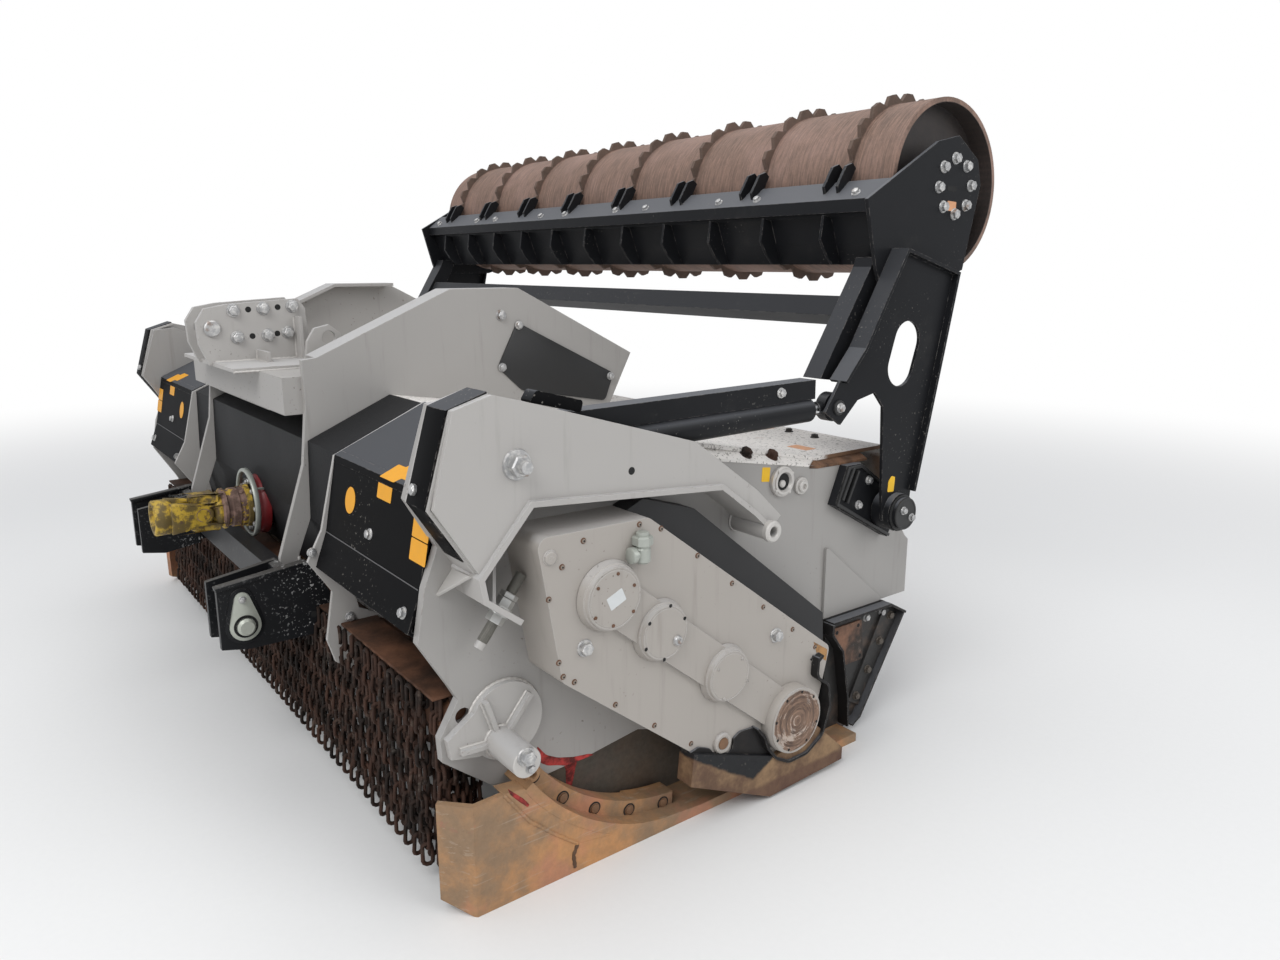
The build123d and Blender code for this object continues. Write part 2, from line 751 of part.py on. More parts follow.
# Wear plates and arm brackets on the side plates
WEAR_T = 20.0
WEAR_BAR_T = 10.0
for side, s in SIDES:
    with BuildPart() as wear:
        add_plate(
            [
                (420.0, 409.0),
                (708.0, 409.0),
                (791.0, 364.0),
                (583.0, 35.0),
                (520.0, 2.0),
                (SKID_REAR, 0.0),
                (SKID_REAR, SOLE_T),
                (430.0, SOLE_T),
            ],
            s * SIDE_X,
            s * (SIDE_X + WEAR_T),
        )
        add_plate(
            [(700.0, 392.0), (765.0, 350.0), (590.0, 72.0), (540.0, 100.0)],
            s * (SIDE_X + WEAR_T),
            s * (SIDE_X + WEAR_T + WEAR_BAR_T),
        )
        add_plate(
            [(420.0, 409.0), (420.0, 640.0), (432.0, 640.0), (700.0, 421.0), (700.0, 409.0)],
            s * SIDE_X,
            s * (SIDE_X + WEAR_BAR_T),
        )
    save(wear, side + "_wear_plate")
    with BuildPart() as bracket:
        add_plate(
            near(
                HINGE,
                [(-176, 159), (-109, 159), (0, 85), (62, 50), (62, -60), (38, -103), (-225, 41)],
            ),
            s * SIDE_X,
            s * (SIDE_X + BRACKET_T),
        )
        add_disc(HINGE, HINGE_PIN_R, s * (SIDE_X + BRACKET_T), s * (ARM_FLANGE_OUT + 6.0))
        add_disc(HINGE, 50.0, s * (ARM_FLANGE_OUT + 6.0), s * (ARM_FLANGE_OUT + 18.0))
    save(bracket, side + "_arm_bracket")

# Gear cases: case, raised rib joining four round covers, the last one over the rotor's end
CASE_OUTLINE = [
    (-705.0, 912.0),
    (-390.0, 909.0),
    (290.0, 401.0),
    (230.0, 170.0),
    (60.0, 130.0),
    (-251.0, 243.0),
    (-643.0, 553.0),
]
along_y = ROTOR[0] - SWING[0]
along_z = ROTOR[1] - SWING[1]
along = math.hypot(along_y, along_z)
CASE_COVERS = ((0.0, 77.0, 0.0), (0.245, 70.0, 0.0), (0.595, 70.0, 0.0), (1.0, 97.0, 12.0))
for side, s in SIDES:
    with BuildPart() as case:
        add_plate(CASE_OUTLINE, s * SIDE_X, s * CASE_X, CASE_CORNER_R)
        ry = -RIB_R * along_z / along
        rz = RIB_R * along_y / along
        add_plate(
            [
                (SWING[0] + ry, SWING[1] + rz),
                (ROTOR[0] + ry, ROTOR[1] + rz),
                (ROTOR[0] - ry, ROTOR[1] - rz),
                (SWING[0] - ry, SWING[1] - rz),
            ],
            s * CASE_X,
            s * (CASE_X + RIB_H),
        )
        for share, radius, extra in CASE_COVERS:
            centre = (SWING[0] + share * along_y, SWING[1] + share * along_z)
            add_disc(centre, radius, s * CASE_X, s * (CASE_X + COVER_H + extra))
        add_disc(
            ROTOR, ROTOR_SHAFT_R + RUNNING, s * SIDE_X, s * (SIDE_X + SHAFT_SOCKET), Mode.SUBTRACT
        )
    save(case, side + "_gear_case")
    with BuildPart() as seal:
        add_plate(
            [
                (-390.0, 909.0),
                (-340.0, 930.0),
                (-170.0, 877.0),
                (355.0, 463.0),
                (362.0, 365.0),
                (290.0, 401.0),
            ],
            s * SIDE_X,
            s * (SIDE_X + SEAL_W),
        )
    save(seal, side + "_seal_strip")
    with BuildPart() as shield:
        shield_in = CASE_X + SHIELD_END - SHIELD_T
        add_plate(
            [
                (-260.0, 150.0),
                (40.0, 8.0),
                (350.0, 20.0),
                (350.0, 60.0),
                (230.0, 170.0),
                (60.0, 130.0),
                (-251.0, 243.0),
            ],
            s * shield_in,
            s * (CASE_X + SHIELD_END),
        )
        add_disc(ROTOR, CASE_COVERS[3][1] + 3.0, s * shield_in, s * (CASE_X + SHIELD_END), Mode.SUBTRACT)
    save(shield, side + "_case_shield")

# Rotor: drum with hammers set in a steep spiral, shaft ends in the gear cases
TOOL_OUTLINE = (
    (ROTOR_R - 12.0, -52.0),
    (ROTOR_R + 22.0, -30.0),
    (ROTOR_TIP_R - 8.0, 14.0),
    (ROTOR_TIP_R - 3.0, 36.0),
    (ROTOR_R - 12.0, 40.0),
)
with BuildPart() as rotor:
    add_disc(ROTOR, ROTOR_R, -ROTOR_HALF, ROTOR_HALF)
    for s in (1.0, -1.0):
        add_disc(ROTOR, ROTOR_SHAFT_R, s * ROTOR_HALF, s * (SIDE_X + SHAFT_SOCKET - END_PLAY))
    tool_step = 2 * (ROTOR_HALF - TOOL_W) / (TOOL_COUNT - 1)
    for i in range(TOOL_COUNT):
        x = -(ROTOR_HALF - TOOL_W) + i * tool_step
        with BuildSketch(profile_at(x - TOOL_W / 2)):
            Polygon(*[turned(ROTOR, point, i * TOOL_TURN) for point in TOOL_OUTLINE], align=None)
        extrude(amount=TOOL_W)
save(rotor, "rotor")

# Roller arms: web, front and rear flanges, lug for the cylinder, hinge boss
ARM_TOP_FRONT = (611.0, 1546.0)
ARM_TOP_REAR = (877.0, 1475.0)
ARM_REAR = [ARM_TOP_REAR, (821.0, 1224.0)] + near(HINGE, [(73, 57), (65, -35)])
ARM_LUG = near(CYL_EYE, [(75, 16), (3, -50), (-63, -7), (-5, 79), (75, 169)])
ARM_OUTLINE = (
    [ARM_TOP_FRONT]
    + ARM_REAR
    + near(HINGE, [(0, -65), (-60, -20), (-70, 52)])
    + [(560.0, 1081.0), (517.0, 1127.0)]
    + ARM_LUG
)
ARM_FRONT_LINE = ARM_LUG[3:] + [ARM_TOP_FRONT]
for side, s in SIDES:
    with BuildPart() as arm:
        add_plate(ARM_OUTLINE, s * ARM_WEB_X, s * (ARM_WEB_X + ARM_WEB_T))
        for line in (ARM_REAR[:3], ARM_FRONT_LINE, [ARM_TOP_FRONT, ARM_TOP_REAR]):
            add_plate(thick_line(line, -ARM_FLANGE_T), s * ARM_FLANGE_IN, s * ARM_FLANGE_OUT)
        with BuildSketch(profile_at(min(s * ARM_WEB_X, s * (ARM_WEB_X + ARM_WEB_T)))):
            with Locations((645.0, 1235.0)):
                SlotOverall(200.0, 120.0, rotation=72.0)
        extrude(amount=ARM_WEB_T, mode=Mode.SUBTRACT)
        hinge_in = SIDE_X + BRACKET_T + MOVING_GAP
        add_disc(HINGE, HINGE_BOSS_R, s * hinge_in, s * ARM_FLANGE_OUT)
        add_disc(HINGE, HINGE_PIN_R + RUNNING, s * hinge_in, s * ARM_FLANGE_OUT, Mode.SUBTRACT)
        lug_in = CYL_X - CYL_EYE_T / 2
        add_disc(CYL_EYE, CYL_PIN_R - RUNNING, s * (CYL_X + CYL_EYE_T / 2 + 1.0), s * ARM_WEB_X)
    save(arm, side + "_roller_arm")
    with BuildPart() as end_plate:
        add_plate(
            near(
                ROLLER,
                [
                    (-414, -53),
                    (-97, 126),
                    (6, 150),
                    (113, 86),
                    (137, 11),
                    (72, -253),
                    (-25, -285),
                    (-342, -285),
                    (-362, -239),
                ],
            ),
            s * END_PLATE_X,
            s * (END_PLATE_X + END_PLATE_T),
        )
        hub_in = ROLLER_HALF - ROLLER_END_IN + ROLLER_WALL + END_PLAY + 5.0
        add_disc(ROLLER, HUB_R, s * hub_in, s * END_PLATE_X)
        add_disc(ROLLER, STUB_R + RUNNING, s * hub_in, s * (END_PLATE_X - END_PLAY), Mode.SUBTRACT)
    save(end_plate, side + "_end_plate")

# Frame across: scraper plate with tabs at each ring, lip, ribbed sheet, lower beam, side members
SCRAPER_LINE = near(ROLLER, [(-302, 11), (-374, -47), (-376, -85)])
SHEET_LINE = near(ROLLER, [(-345, -30), (-342, -95), (-312, -175), (-282, -237)])
RIB_OUTLINE = near(
    ROLLER, [(-342, -95), (-374, -90), (-384, -162), (-356, -205), (-325, -237), (-285, -237), (-312, -175)]
)
TAB_OUTLINE = near(ROLLER, [(-346, -32), (-300, 5), (-274, 51), (-290, 65), (-318, 55), (-354, -5)])
BEAM_OUTLINE = [(481.0, 1349.0), (512.0, 1406.0), (574.0, 1373.0), (543.0, 1316.0)]
MEMBER_OUTLINE = near(CYL_EYE, [(-18, 79), (77, 66), (257, 397), (258, 425), (195, 425), (184, 397)])
MEMBER_IN = 50.0
RIB_COUNT = 11
RIB_STEP = 258.0
SCRAPER_T = 10.0
TAB_GAP = 14.0
MEMBER_X = SIDE_X - MEMBER_IN
with BuildPart() as roller_frame:
    add_plate(thick_line(SCRAPER_LINE, SCRAPER_T), -END_PLATE_X, END_PLATE_X)
    add_plate(thick_line(SHEET_LINE, SCRAPER_T), -END_PLATE_X, END_PLATE_X)
    add_plate(BEAM_OUTLINE, -MEMBER_X, MEMBER_X)
    for s in (1.0, -1.0):
        add_plate(MEMBER_OUTLINE, s * MEMBER_X, s * (CYL_X - CYL_EYE_T / 2 - MOVING_GAP))
    for i in range(RIB_COUNT):
        x = (i - (RIB_COUNT - 1) / 2) * RIB_STEP
        add_plate(RIB_OUTLINE, x - SCRAPER_T / 2, x + SCRAPER_T / 2)
    for i in range(RING_COUNT):
        for t in (1.0, -1.0):
            x = (i - (RING_COUNT - 1) / 2) * RING_STEP + t * (RING_T / 2 + TAB_GAP)
            add_plate(TAB_OUTLINE, x, x + t * SCRAPER_T)
save(roller_frame, "roller_frame")

# Roller: drum with recessed ends and stub shafts, rings with lobes round it
with BuildPart() as roller:
    add_disc(ROLLER, ROLLER_R, -ROLLER_HALF, ROLLER_HALF)
    add_disc(ROLLER, ROLLER_R - ROLLER_WALL, -ROLLER_HALF, ROLLER_HALF, Mode.SUBTRACT)
    lobe = 360.0 / RING_LOBES
    ring = []
    for k in range(RING_LOBES):
        ring.append(polar(ROLLER, RING_TIP_R - 24.0, k * lobe))
        ring.append(polar(ROLLER, RING_TIP_R, (k + 0.33) * lobe))
        ring.append(polar(ROLLER, RING_TIP_R, (k + 0.67) * lobe))
    for i in range(RING_COUNT):
        x = (i - (RING_COUNT - 1) / 2) * RING_STEP
        with BuildSketch(profile_at(x - RING_T / 2)):
            Polygon(*ring, align=None)
            with Locations(ROLLER):
                Circle(ROLLER_R - ROLLER_WALL / 2, mode=Mode.SUBTRACT)
        extrude(amount=RING_T)
    for s in (1.0, -1.0):
        disc_x = ROLLER_HALF - ROLLER_END_IN
        add_disc(ROLLER, ROLLER_R - ROLLER_WALL / 2, s * disc_x, s * (disc_x + ROLLER_WALL))
        add_disc(ROLLER, STUB_R, s * (disc_x + ROLLER_WALL), s * (END_PLATE_X - 2 * END_PLAY))
save(roller, "roller")

# Lift cylinders, each with the square cover beam above its barrel
cyl_length = math.hypot(CYL_EYE[0] - CYL_FRONT[0], CYL_EYE[1] - CYL_FRONT[1])
cyl_angle = math.atan2(CYL_EYE[1] - CYL_FRONT[1], CYL_EYE[0] - CYL_FRONT[0])
for side, s in SIDES:
    base = Plane(
        origin=(s * CYL_X, CYL_FRONT[0], CYL_FRONT[1]),
        x_dir=(1, 0, 0),
        z_dir=(0, math.cos(cyl_angle), math.sin(cyl_angle)),
    )
    eye_from = s * (CYL_X - CYL_EYE_T / 2)
    eye_to = s * (CYL_X + CYL_EYE_T / 2)
    with BuildPart() as barrel:
        with BuildSketch(base.offset(30.0)):
            Circle(CYL_R)
        extrude(amount=BARREL_END - 30.0)
        add_disc(CYL_FRONT, CYL_EYE_R, eye_from, eye_to)
        with BuildSketch(base.offset(CYL_BORE_START)):
            Circle(ROD_R + RUNNING)
        extrude(amount=BARREL_END, mode=Mode.SUBTRACT)
        with BuildSketch(profile_at(s * CYL_X)):
            with Locations(CYL_FRONT):
                Circle(CYL_PIN_R + RUNNING)
        extrude(amount=CYL_EYE_T, both=True, mode=Mode.SUBTRACT)
    save(barrel, side + "_lift_cylinder")
    with BuildPart() as beam:
        with BuildSketch(base.offset(50.0)):
            with Locations((0.0, -BEAM_LIFT)):
                Rectangle(BEAM_W, BEAM_H)
        extrude(amount=BARREL_END - 50.0)
    save(beam, side + "_cylinder_cover")
    with BuildPart() as rod:
        with BuildSketch(base.offset(CYL_BORE_START + MOVING_GAP)):
            Circle(ROD_R)
        extrude(amount=cyl_length - CYL_BORE_START - MOVING_GAP - 30.0)
        add_disc(CYL_EYE, CYL_EYE_R, eye_from, eye_to)
        with BuildSketch(profile_at(s * CYL_X)):
            with Locations(CYL_EYE):
                Circle(CYL_PIN_R)
        extrude(amount=CYL_EYE_T, both=True, mode=Mode.SUBTRACT)
    save(rod, side + "_lift_rod")
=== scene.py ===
"""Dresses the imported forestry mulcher: paint, rust, bolts, chains, drive shaft and a plain stage."""

import math

import bmesh
import bpy
from bpy.props import FloatProperty, FloatVectorProperty, IntProperty, PointerProperty
from mathutils import Euler, Matrix, Vector


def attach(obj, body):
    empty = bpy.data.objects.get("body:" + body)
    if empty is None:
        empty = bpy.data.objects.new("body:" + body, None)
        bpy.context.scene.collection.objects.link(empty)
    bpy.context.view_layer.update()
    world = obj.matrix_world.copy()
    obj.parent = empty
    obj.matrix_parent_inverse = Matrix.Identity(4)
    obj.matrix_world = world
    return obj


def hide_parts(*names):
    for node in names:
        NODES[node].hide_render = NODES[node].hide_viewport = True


bl_info = {
    "name": "Forestry mulcher",
    "version": (1, 0, 0),
    "blender": (4, 5, 0),
    "location": "3D View > Sidebar > Mulcher",
    "description": "Dresses the packed mulcher with paint, rust, bolts, chains and a stage",
    "category": "Object",
}

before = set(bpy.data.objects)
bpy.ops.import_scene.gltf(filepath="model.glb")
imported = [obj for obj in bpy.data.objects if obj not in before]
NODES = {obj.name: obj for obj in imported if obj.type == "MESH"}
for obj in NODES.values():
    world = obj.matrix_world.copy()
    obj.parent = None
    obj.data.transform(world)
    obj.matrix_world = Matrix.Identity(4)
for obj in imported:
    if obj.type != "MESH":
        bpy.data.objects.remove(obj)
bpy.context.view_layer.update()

MM = 0.001
SIDES = (("left", 1.0), ("right", -1.0))

# Axes across the machine, in millimetres behind and above the origin
SWING = (-514.0, 740.0)
ROTOR = (115.0, 233.0)
ROLLER = (902.0, 1735.0)
SHAFT_Z = 690.0


def at(x, y, z):
    """Point in metres from millimetres."""
    return Vector((x * MM, y * MM, z * MM))


# Node trees: sockets that take part in expressions


class Sock:
    """Wraps one output socket; each operator adds one Math node."""

    def __init__(self, graph, socket):
        self.graph = graph
        self.socket = socket

    def math(self, operation, *values):
        inputs = dict(enumerate((self,) + values))
        return self.graph.node("ShaderNodeMath", {"operation": operation}, inputs)

    def other(self, name):
        """Another output of the same node."""
        return Sock(self.graph, self.socket.node.outputs[name])

    def __add__(self, value):
        return self.math("ADD", value)

    def __sub__(self, value):
        return self.math("SUBTRACT", value)

    def __mul__(self, value):
        return self.math("MULTIPLY", value)

    def __truediv__(self, value):
        return self.math("DIVIDE", value)

    def __radd__(self, value):
        return self.math("ADD", value)

    def __rmul__(self, value):
        return self.math("MULTIPLY", value)

    def __rsub__(self, value):
        return self.graph.node(
            "ShaderNodeMath", {"operation": "SUBTRACT"}, {0: value, 1: self}
        )


class Graph:
    """A node tree while it is being built."""

    def __init__(self, tree):
        self.tree = tree

    def node(self, kind, settings=None, inputs=None, output=0):
        """Adds a node: its settings first, then the values or links of its sockets."""
        made = self.tree.nodes.new(kind)
        for name, value in (settings or {}).items():
            if name == "stops":
                set_stops(made.color_ramp, value)
            else:
                setattr(made, name, value)
        for key, value in (inputs or {}).items():
            if isinstance(value, Sock):
                self.tree.links.new(value.socket, made.inputs[key])
            else:
                made.inputs[key].default_value = value
        return Sock(self, made.outputs[output]) if made.outputs else made


def set_stops(ramp, stops):
    """Colour ramp from (place, colour) pairs."""
    while len(ramp.elements) < len(stops):
        ramp.elements.new(0.5)
    for element, (place, colour) in zip(ramp.elements, stops):
        element.position = place
        element.color = rgba(colour)


def rgba(colour):
    return tuple(colour)[:3] + (1.0,)


class Finish(Graph):
    """A paint, metal or rubber, as patterns on Object coordinates."""

    def __init__(self, name):
        self.material = bpy.data.materials.new(name)
        self.material.use_nodes = True
        super().__init__(self.material.node_tree)
        self.tree.nodes.clear()
        self.output = self.node("ShaderNodeOutputMaterial")

    def coords(self):
        return self.node("ShaderNodeTexCoord", output="Object")

    def placed(self, centre=(0.0, 0.0, 0.0), stretch=(1.0, 1.0, 1.0), turn=(0.0, 0.0, 0.0)):
        """Object coordinates moved, turned and stretched."""
        return self.node(
            "ShaderNodeMapping",
            {"vector_type": "POINT"},
            {"Vector": self.coords(), "Location": centre, "Rotation": turn, "Scale": stretch},
        )

    def noise(self, scale, detail=3.0, rough=0.5, vector=None):
        inputs = {"Scale": scale, "Detail": detail, "Roughness": rough}
        inputs["Vector"] = vector or self.coords()
        return self.node("ShaderNodeTexNoise", None, inputs)

    def above(self, value, start, width=0.1):
        """Soft step from 0 to 1 where the value passes the start."""
        return self.node(
            "ShaderNodeMapRange",
            {"interpolation_type": "SMOOTHSTEP"},
            {0: value, 1: start, 2: start + width, 3: 0.0, 4: 1.0},
        )

    def mix(self, factor, a, b, blend="MIX"):
        inputs = {0: factor}
        for key, colour in ((6, a), (7, b)):
            inputs[key] = colour if isinstance(colour, Sock) else rgba(colour)
        settings = {"data_type": "RGBA", "blend_type": blend}
        return self.node("ShaderNodeMix", settings, inputs, output=2)

    def shade(self, colour, amount):
        """A colour made lighter or darker by a value round 1."""
        vector = self.node(
            "ShaderNodeVectorMath",
            {"operation": "SCALE"},
            {0: colour if isinstance(colour, Sock) else tuple(colour)[:3], "Scale": amount},
        )
        return vector

    def edges(self, radius=0.004):
        """1 on sharp edges, 0 on flats."""
        soft = self.node("ShaderNodeBevel", {"samples": 4}, {"Radius": radius})
        flat = self.node("ShaderNodeNewGeometry", output="Normal")
        dot = self.node(
            "ShaderNodeVectorMath", {"operation": "DOT_PRODUCT"}, {0: soft, 1: flat}, output="Value"
        )
        return self.above(1.0 - dot, 0.01, 0.12)

    def facing_up(self):
        normal = self.node("ShaderNodeNewGeometry", output="Normal")
        return self.node("ShaderNodeSeparateXYZ", None, {0: normal}, output="Z")

    def height(self):
        return self.node("ShaderNodeSeparateXYZ", None, {0: self.coords()}, output="Z")

    def bumped(self, height, distance, strength=1.0, soften=0.0):
        inputs = {"Height": height, "Distance": distance, "Strength": strength}
        if soften:
            inputs["Normal"] = self.node("ShaderNodeBevel", {"samples": 4}, {"Radius": soften})
        return self.node("ShaderNodeBump", None, inputs)

    def surface(self, colour, roughness, metallic=0.0, normal=None, specular=0.5):
        """Joins the patterns to the shader and hands over the material."""
        inputs = {"Roughness": roughness, "Metallic": metallic, "Specular IOR Level": specular}
        inputs["Base Color"] = colour if isinstance(colour, Sock) else rgba(colour)
        if normal is not None:
            inputs["Normal"] = normal
        shader = self.node("ShaderNodeBsdfPrincipled", None, inputs)
        self.tree.links.new(shader.socket, self.output.inputs["Surface"])
        return self.material


# Finishes


def paint_finish(name, colour, dirt, gloss, wear=0.5, speckle=0.3):
    """Workshop paint: painted pale sky light and patchy dirt on what faces up, painted highlights on sharp edges, dirt
    spots, rubbed edges, faint runs and orange peel.
    """
    f = Finish(name)
    cloud = f.noise(1.7, 4.0)
    base = f.shade(colour, 0.93 + 0.14 * cloud)
    runs = f.noise(9.0, 4.0, 0.6, f.placed(stretch=(3.0, 3.0, 0.25)))
    base = f.mix(f.above(runs, 0.56, 0.2) * 0.18, base, dirt)
    patch = f.above(f.noise(2.6, 3.0), 0.5, 0.16)
    spots = f.above(f.noise(85.0, 2.0), 0.68, 0.03) * patch
    base = f.mix(spots * speckle, base, dirt)
    up = f.above(f.facing_up(), 0.3, 0.5)
    # Painted light: a pale bluish grey on all that faces up stands in for the sky's light
    base = f.mix(up * 0.28, base, (0.56, 0.57, 0.59))
    base = f.mix(up * f.above(f.noise(7.0, 5.0, 0.7), 0.56, 0.1) * 0.3, base, (0.25, 0.20, 0.15))
    sharp = f.edges(0.003)
    # Painted highlight: sharp edges lightened towards a near-white grey
    base = f.mix(sharp * 0.45, base, (0.66, 0.65, 0.63))
    rubbed = sharp * f.above(f.noise(26.0, 4.0, 0.7), 0.66 - 0.16 * wear, 0.06)
    base = f.mix(rubbed * wear, base, (0.17, 0.085, 0.045))
    rough = gloss + 0.18 * cloud + 0.2 * spots
    bump = f.bumped(f.noise(330.0, 1.0), 0.0004, 0.25, 0.0025)
    return f.surface(base, rough, normal=bump)


def black_finish(name, colour, dust, gloss, chips=0.35, specular=0.14, film=0.08, dull=0.5):
    """Black paint with pale chips, a film of dust and a painted bluish sky reflection on what faces up."""
    f = Finish(name)
    cloud = f.noise(2.3, 4.0)
    base = f.shade(colour, 0.8 + 0.5 * cloud)
    base = f.mix(f.above(f.noise(5.0, 5.0, 0.7), 0.55, 0.25) * film, base, dust)
    # Painted reflection: a bluish grey on what faces up stands in for the sky's reflection, its strength set by dull
    sheen = f.above(f.facing_up(), 0.3, 0.65) * dull
    base = f.mix(sheen, base, (0.235, 0.243, 0.262))
    patch = f.above(f.noise(3.4, 2.0), 0.52, 0.12)
    chip = f.above(f.noise(120.0, 2.0), 0.67, 0.03) * patch
    base = f.mix(chip * chips, base, (0.33, 0.31, 0.28))
    rubbed = f.edges(0.003) * f.above(f.noise(40.0, 4.0, 0.7), 0.45, 0.15)
    base = f.mix(rubbed * 0.6, base, (0.30, 0.28, 0.26))
    rough = gloss + 0.2 * sheen + 0.12 * cloud
    bump = f.bumped(f.noise(300.0, 1.0), 0.0004, 0.25, 0.0025)
    return f.surface(base, rough, normal=bump, specular=specular)


def clevis_finish(palette):
    """Clevis: black with pale specks, thick towards the machine."""
    f = Finish("speckled_black")
    place = f.node("ShaderNodeSeparateXYZ", None, {0: f.coords()}, output="Y")
    thick = f.above(place, -1.07, 0.16)
    coarse = f.above(f.noise(75.0, 2.0), 0.63, 0.02)
    fine = f.above(f.noise(150.0, 2.0), 0.64, 0.02)
    patch = f.above(f.noise(7.0, 4.0, 0.6), 0.44, 0.1)
    specks = coarse.math("MAXIMUM", fine) * (0.12 + 0.88 * thick) * patch
    base = f.shade(palette.black_paint, 0.7 + 0.5 * f.noise(3.0, 4.0))
    up = f.above(f.facing_up(), 0.3, 0.5)
    base = f.mix(up * 0.3, base, palette.dust)
    base = f.mix(specks * 0.85, base, (0.46, 0.46, 0.45))
    return f.surface(base, 0.4, normal=f.bumped(specks, 0.0006, 0.5, 0.003), specular=0.2)


def rust_finish(name, dark, bright, scale, scuff=0.3, scuff_colour=(0.42, 0.36, 0.3)):
    """Rusty steel: clouds from dark to bright rust, pits and rubbed patches."""
    f = Finish(name)
    cloud = f.noise(scale, 6.0, 0.62)
    fine = f.noise(scale * 12.0, 4.0, 0.6)
    base = f.mix(f.above(cloud, 0.36, 0.3), dark, bright)
    base = f.shade(base, 0.7 + 0.6 * fine)
    rub = f.above(f.noise(scale * 2.3, 5.0, 0.7), 0.57, 0.08)
    base = f.mix(rub * scuff, base, scuff_colour)
    rough = 0.78 - 0.25 * rub * scuff
    bump = f.bumped(fine + 0.5 * cloud, 0.0022, 0.6, 0.003)
    return f.surface(base, rough, normal=bump, specular=0.3)


def skid_finish(palette):
    """Orange-brown sole steel, traces of red paint above, dark and scuffed further in."""
    f = Finish("skid_steel")
    cloud = f.noise(5.0, 6.0, 0.65)
    fine = f.noise(70.0, 5.0, 0.6)
    base = f.mix(f.above(cloud, 0.38, 0.28), palette.skid_dark, palette.skid_orange)
    upper = f.above(f.height() + 0.10 * (cloud - 0.5), 0.17, 0.12)
    base = f.mix(upper * 0.5, base, palette.skid_dark)
    warm = f.above(f.noise(3.3, 5.0, 0.6, f.placed(centre=(3.0, 1.0, 2.0))), 0.50, 0.12)
    base = f.mix(warm * 0.55, base, (0.50, 0.21, 0.13))
    red = upper * f.above(f.noise(8.0, 5.0, 0.7), 0.60, 0.05)
    base = f.mix(red * 0.5, base, (0.42, 0.10, 0.09))
    scratch = f.noise(40.0, 5.0, 0.6, f.placed(stretch=(1.0, 0.12, 2.2)))
    rub = f.above(scratch, 0.6, 0.06)
    base = f.mix(rub * 0.28, base, (0.45, 0.38, 0.3))
    base = f.shade(base, 0.78 + 0.44 * fine)
    web = 1.0 - f.above(f.node("ShaderNodeSeparateXYZ", None, {0: f.coords()}).math("ABSOLUTE"), 1.428, 0.004)
    web = web * f.above(f.height(), 0.03, 0.004)
    base = f.mix(web * 0.9, base, f.shade((0.05, 0.047, 0.04), 0.5 + fine))
    bump = f.bumped(fine + cloud, 0.002, 0.6, 0.003)
    return f.surface(base, 0.62 + 0.2 * cloud, normal=bump)


def roller_finish(palette):
    """Brown-pink rust on the drum, with fine streaks round it."""
    f = Finish("roller_steel")
    inputs = {"Vector": f.placed(centre=(0.0, -ROLLER[0] * MM, -ROLLER[1] * MM))}
    y = f.node("ShaderNodeSeparateXYZ", None, {0: inputs["Vector"]}, output="Y")
    z = y.other("Z")
    x = y.other("X")
    reach = (y * y + z * z).math("SQRT")
    streak_place = f.node("ShaderNodeCombineXYZ", None, {0: x * 190.0, 1: y * 14.0, 2: z * 14.0})
    streaks = f.noise(1.0, 6.0, 0.72, streak_place)
    cloud = f.noise(3.1, 5.0, 0.6)
    fine = f.noise(130.0, 3.0, 0.6)
    base = f.mix(f.above(streaks, 0.30, 0.40), palette.roller_dark, palette.roller_rust)
    base = f.mix(f.above(cloud, 0.42, 0.3) * 0.45, base, palette.roller_pink)
    base = f.shade(base, 0.8 + 0.4 * fine)
    ring = f.above(reach, 0.2655, 0.003)
    base = f.mix(ring * 0.7, base, (0.075, 0.05, 0.036))
    inner = 1.0 - f.above(reach, 0.2495, 0.003)
    base = f.mix(inner * 0.92, base, (0.018, 0.017, 0.017))
    bump = f.bumped(streaks + 0.4 * fine, 0.0016, 0.6, 0.003)
    return f.surface(base, 0.68 + 0.15 * cloud - 0.2 * inner, normal=bump)


def zinc_finish():
    """Plated bolts: grey with dull patches and a trace of rust."""
    f = Finish("zinc_bolts")
    cloud = f.noise(60.0, 4.0, 0.6)
    base = f.mix(f.above(cloud, 0.4, 0.3), (0.42, 0.42, 0.42), (0.66, 0.65, 0.63))
    base = f.mix(f.above(f.noise(33.0, 4.0), 0.62, 0.08) * 0.55, base, (0.22, 0.13, 0.08))
    return f.surface(base, 0.34 + 0.25 * cloud, 0.75, f.bumped(cloud, 0.0006, 0.5, 0.0012))


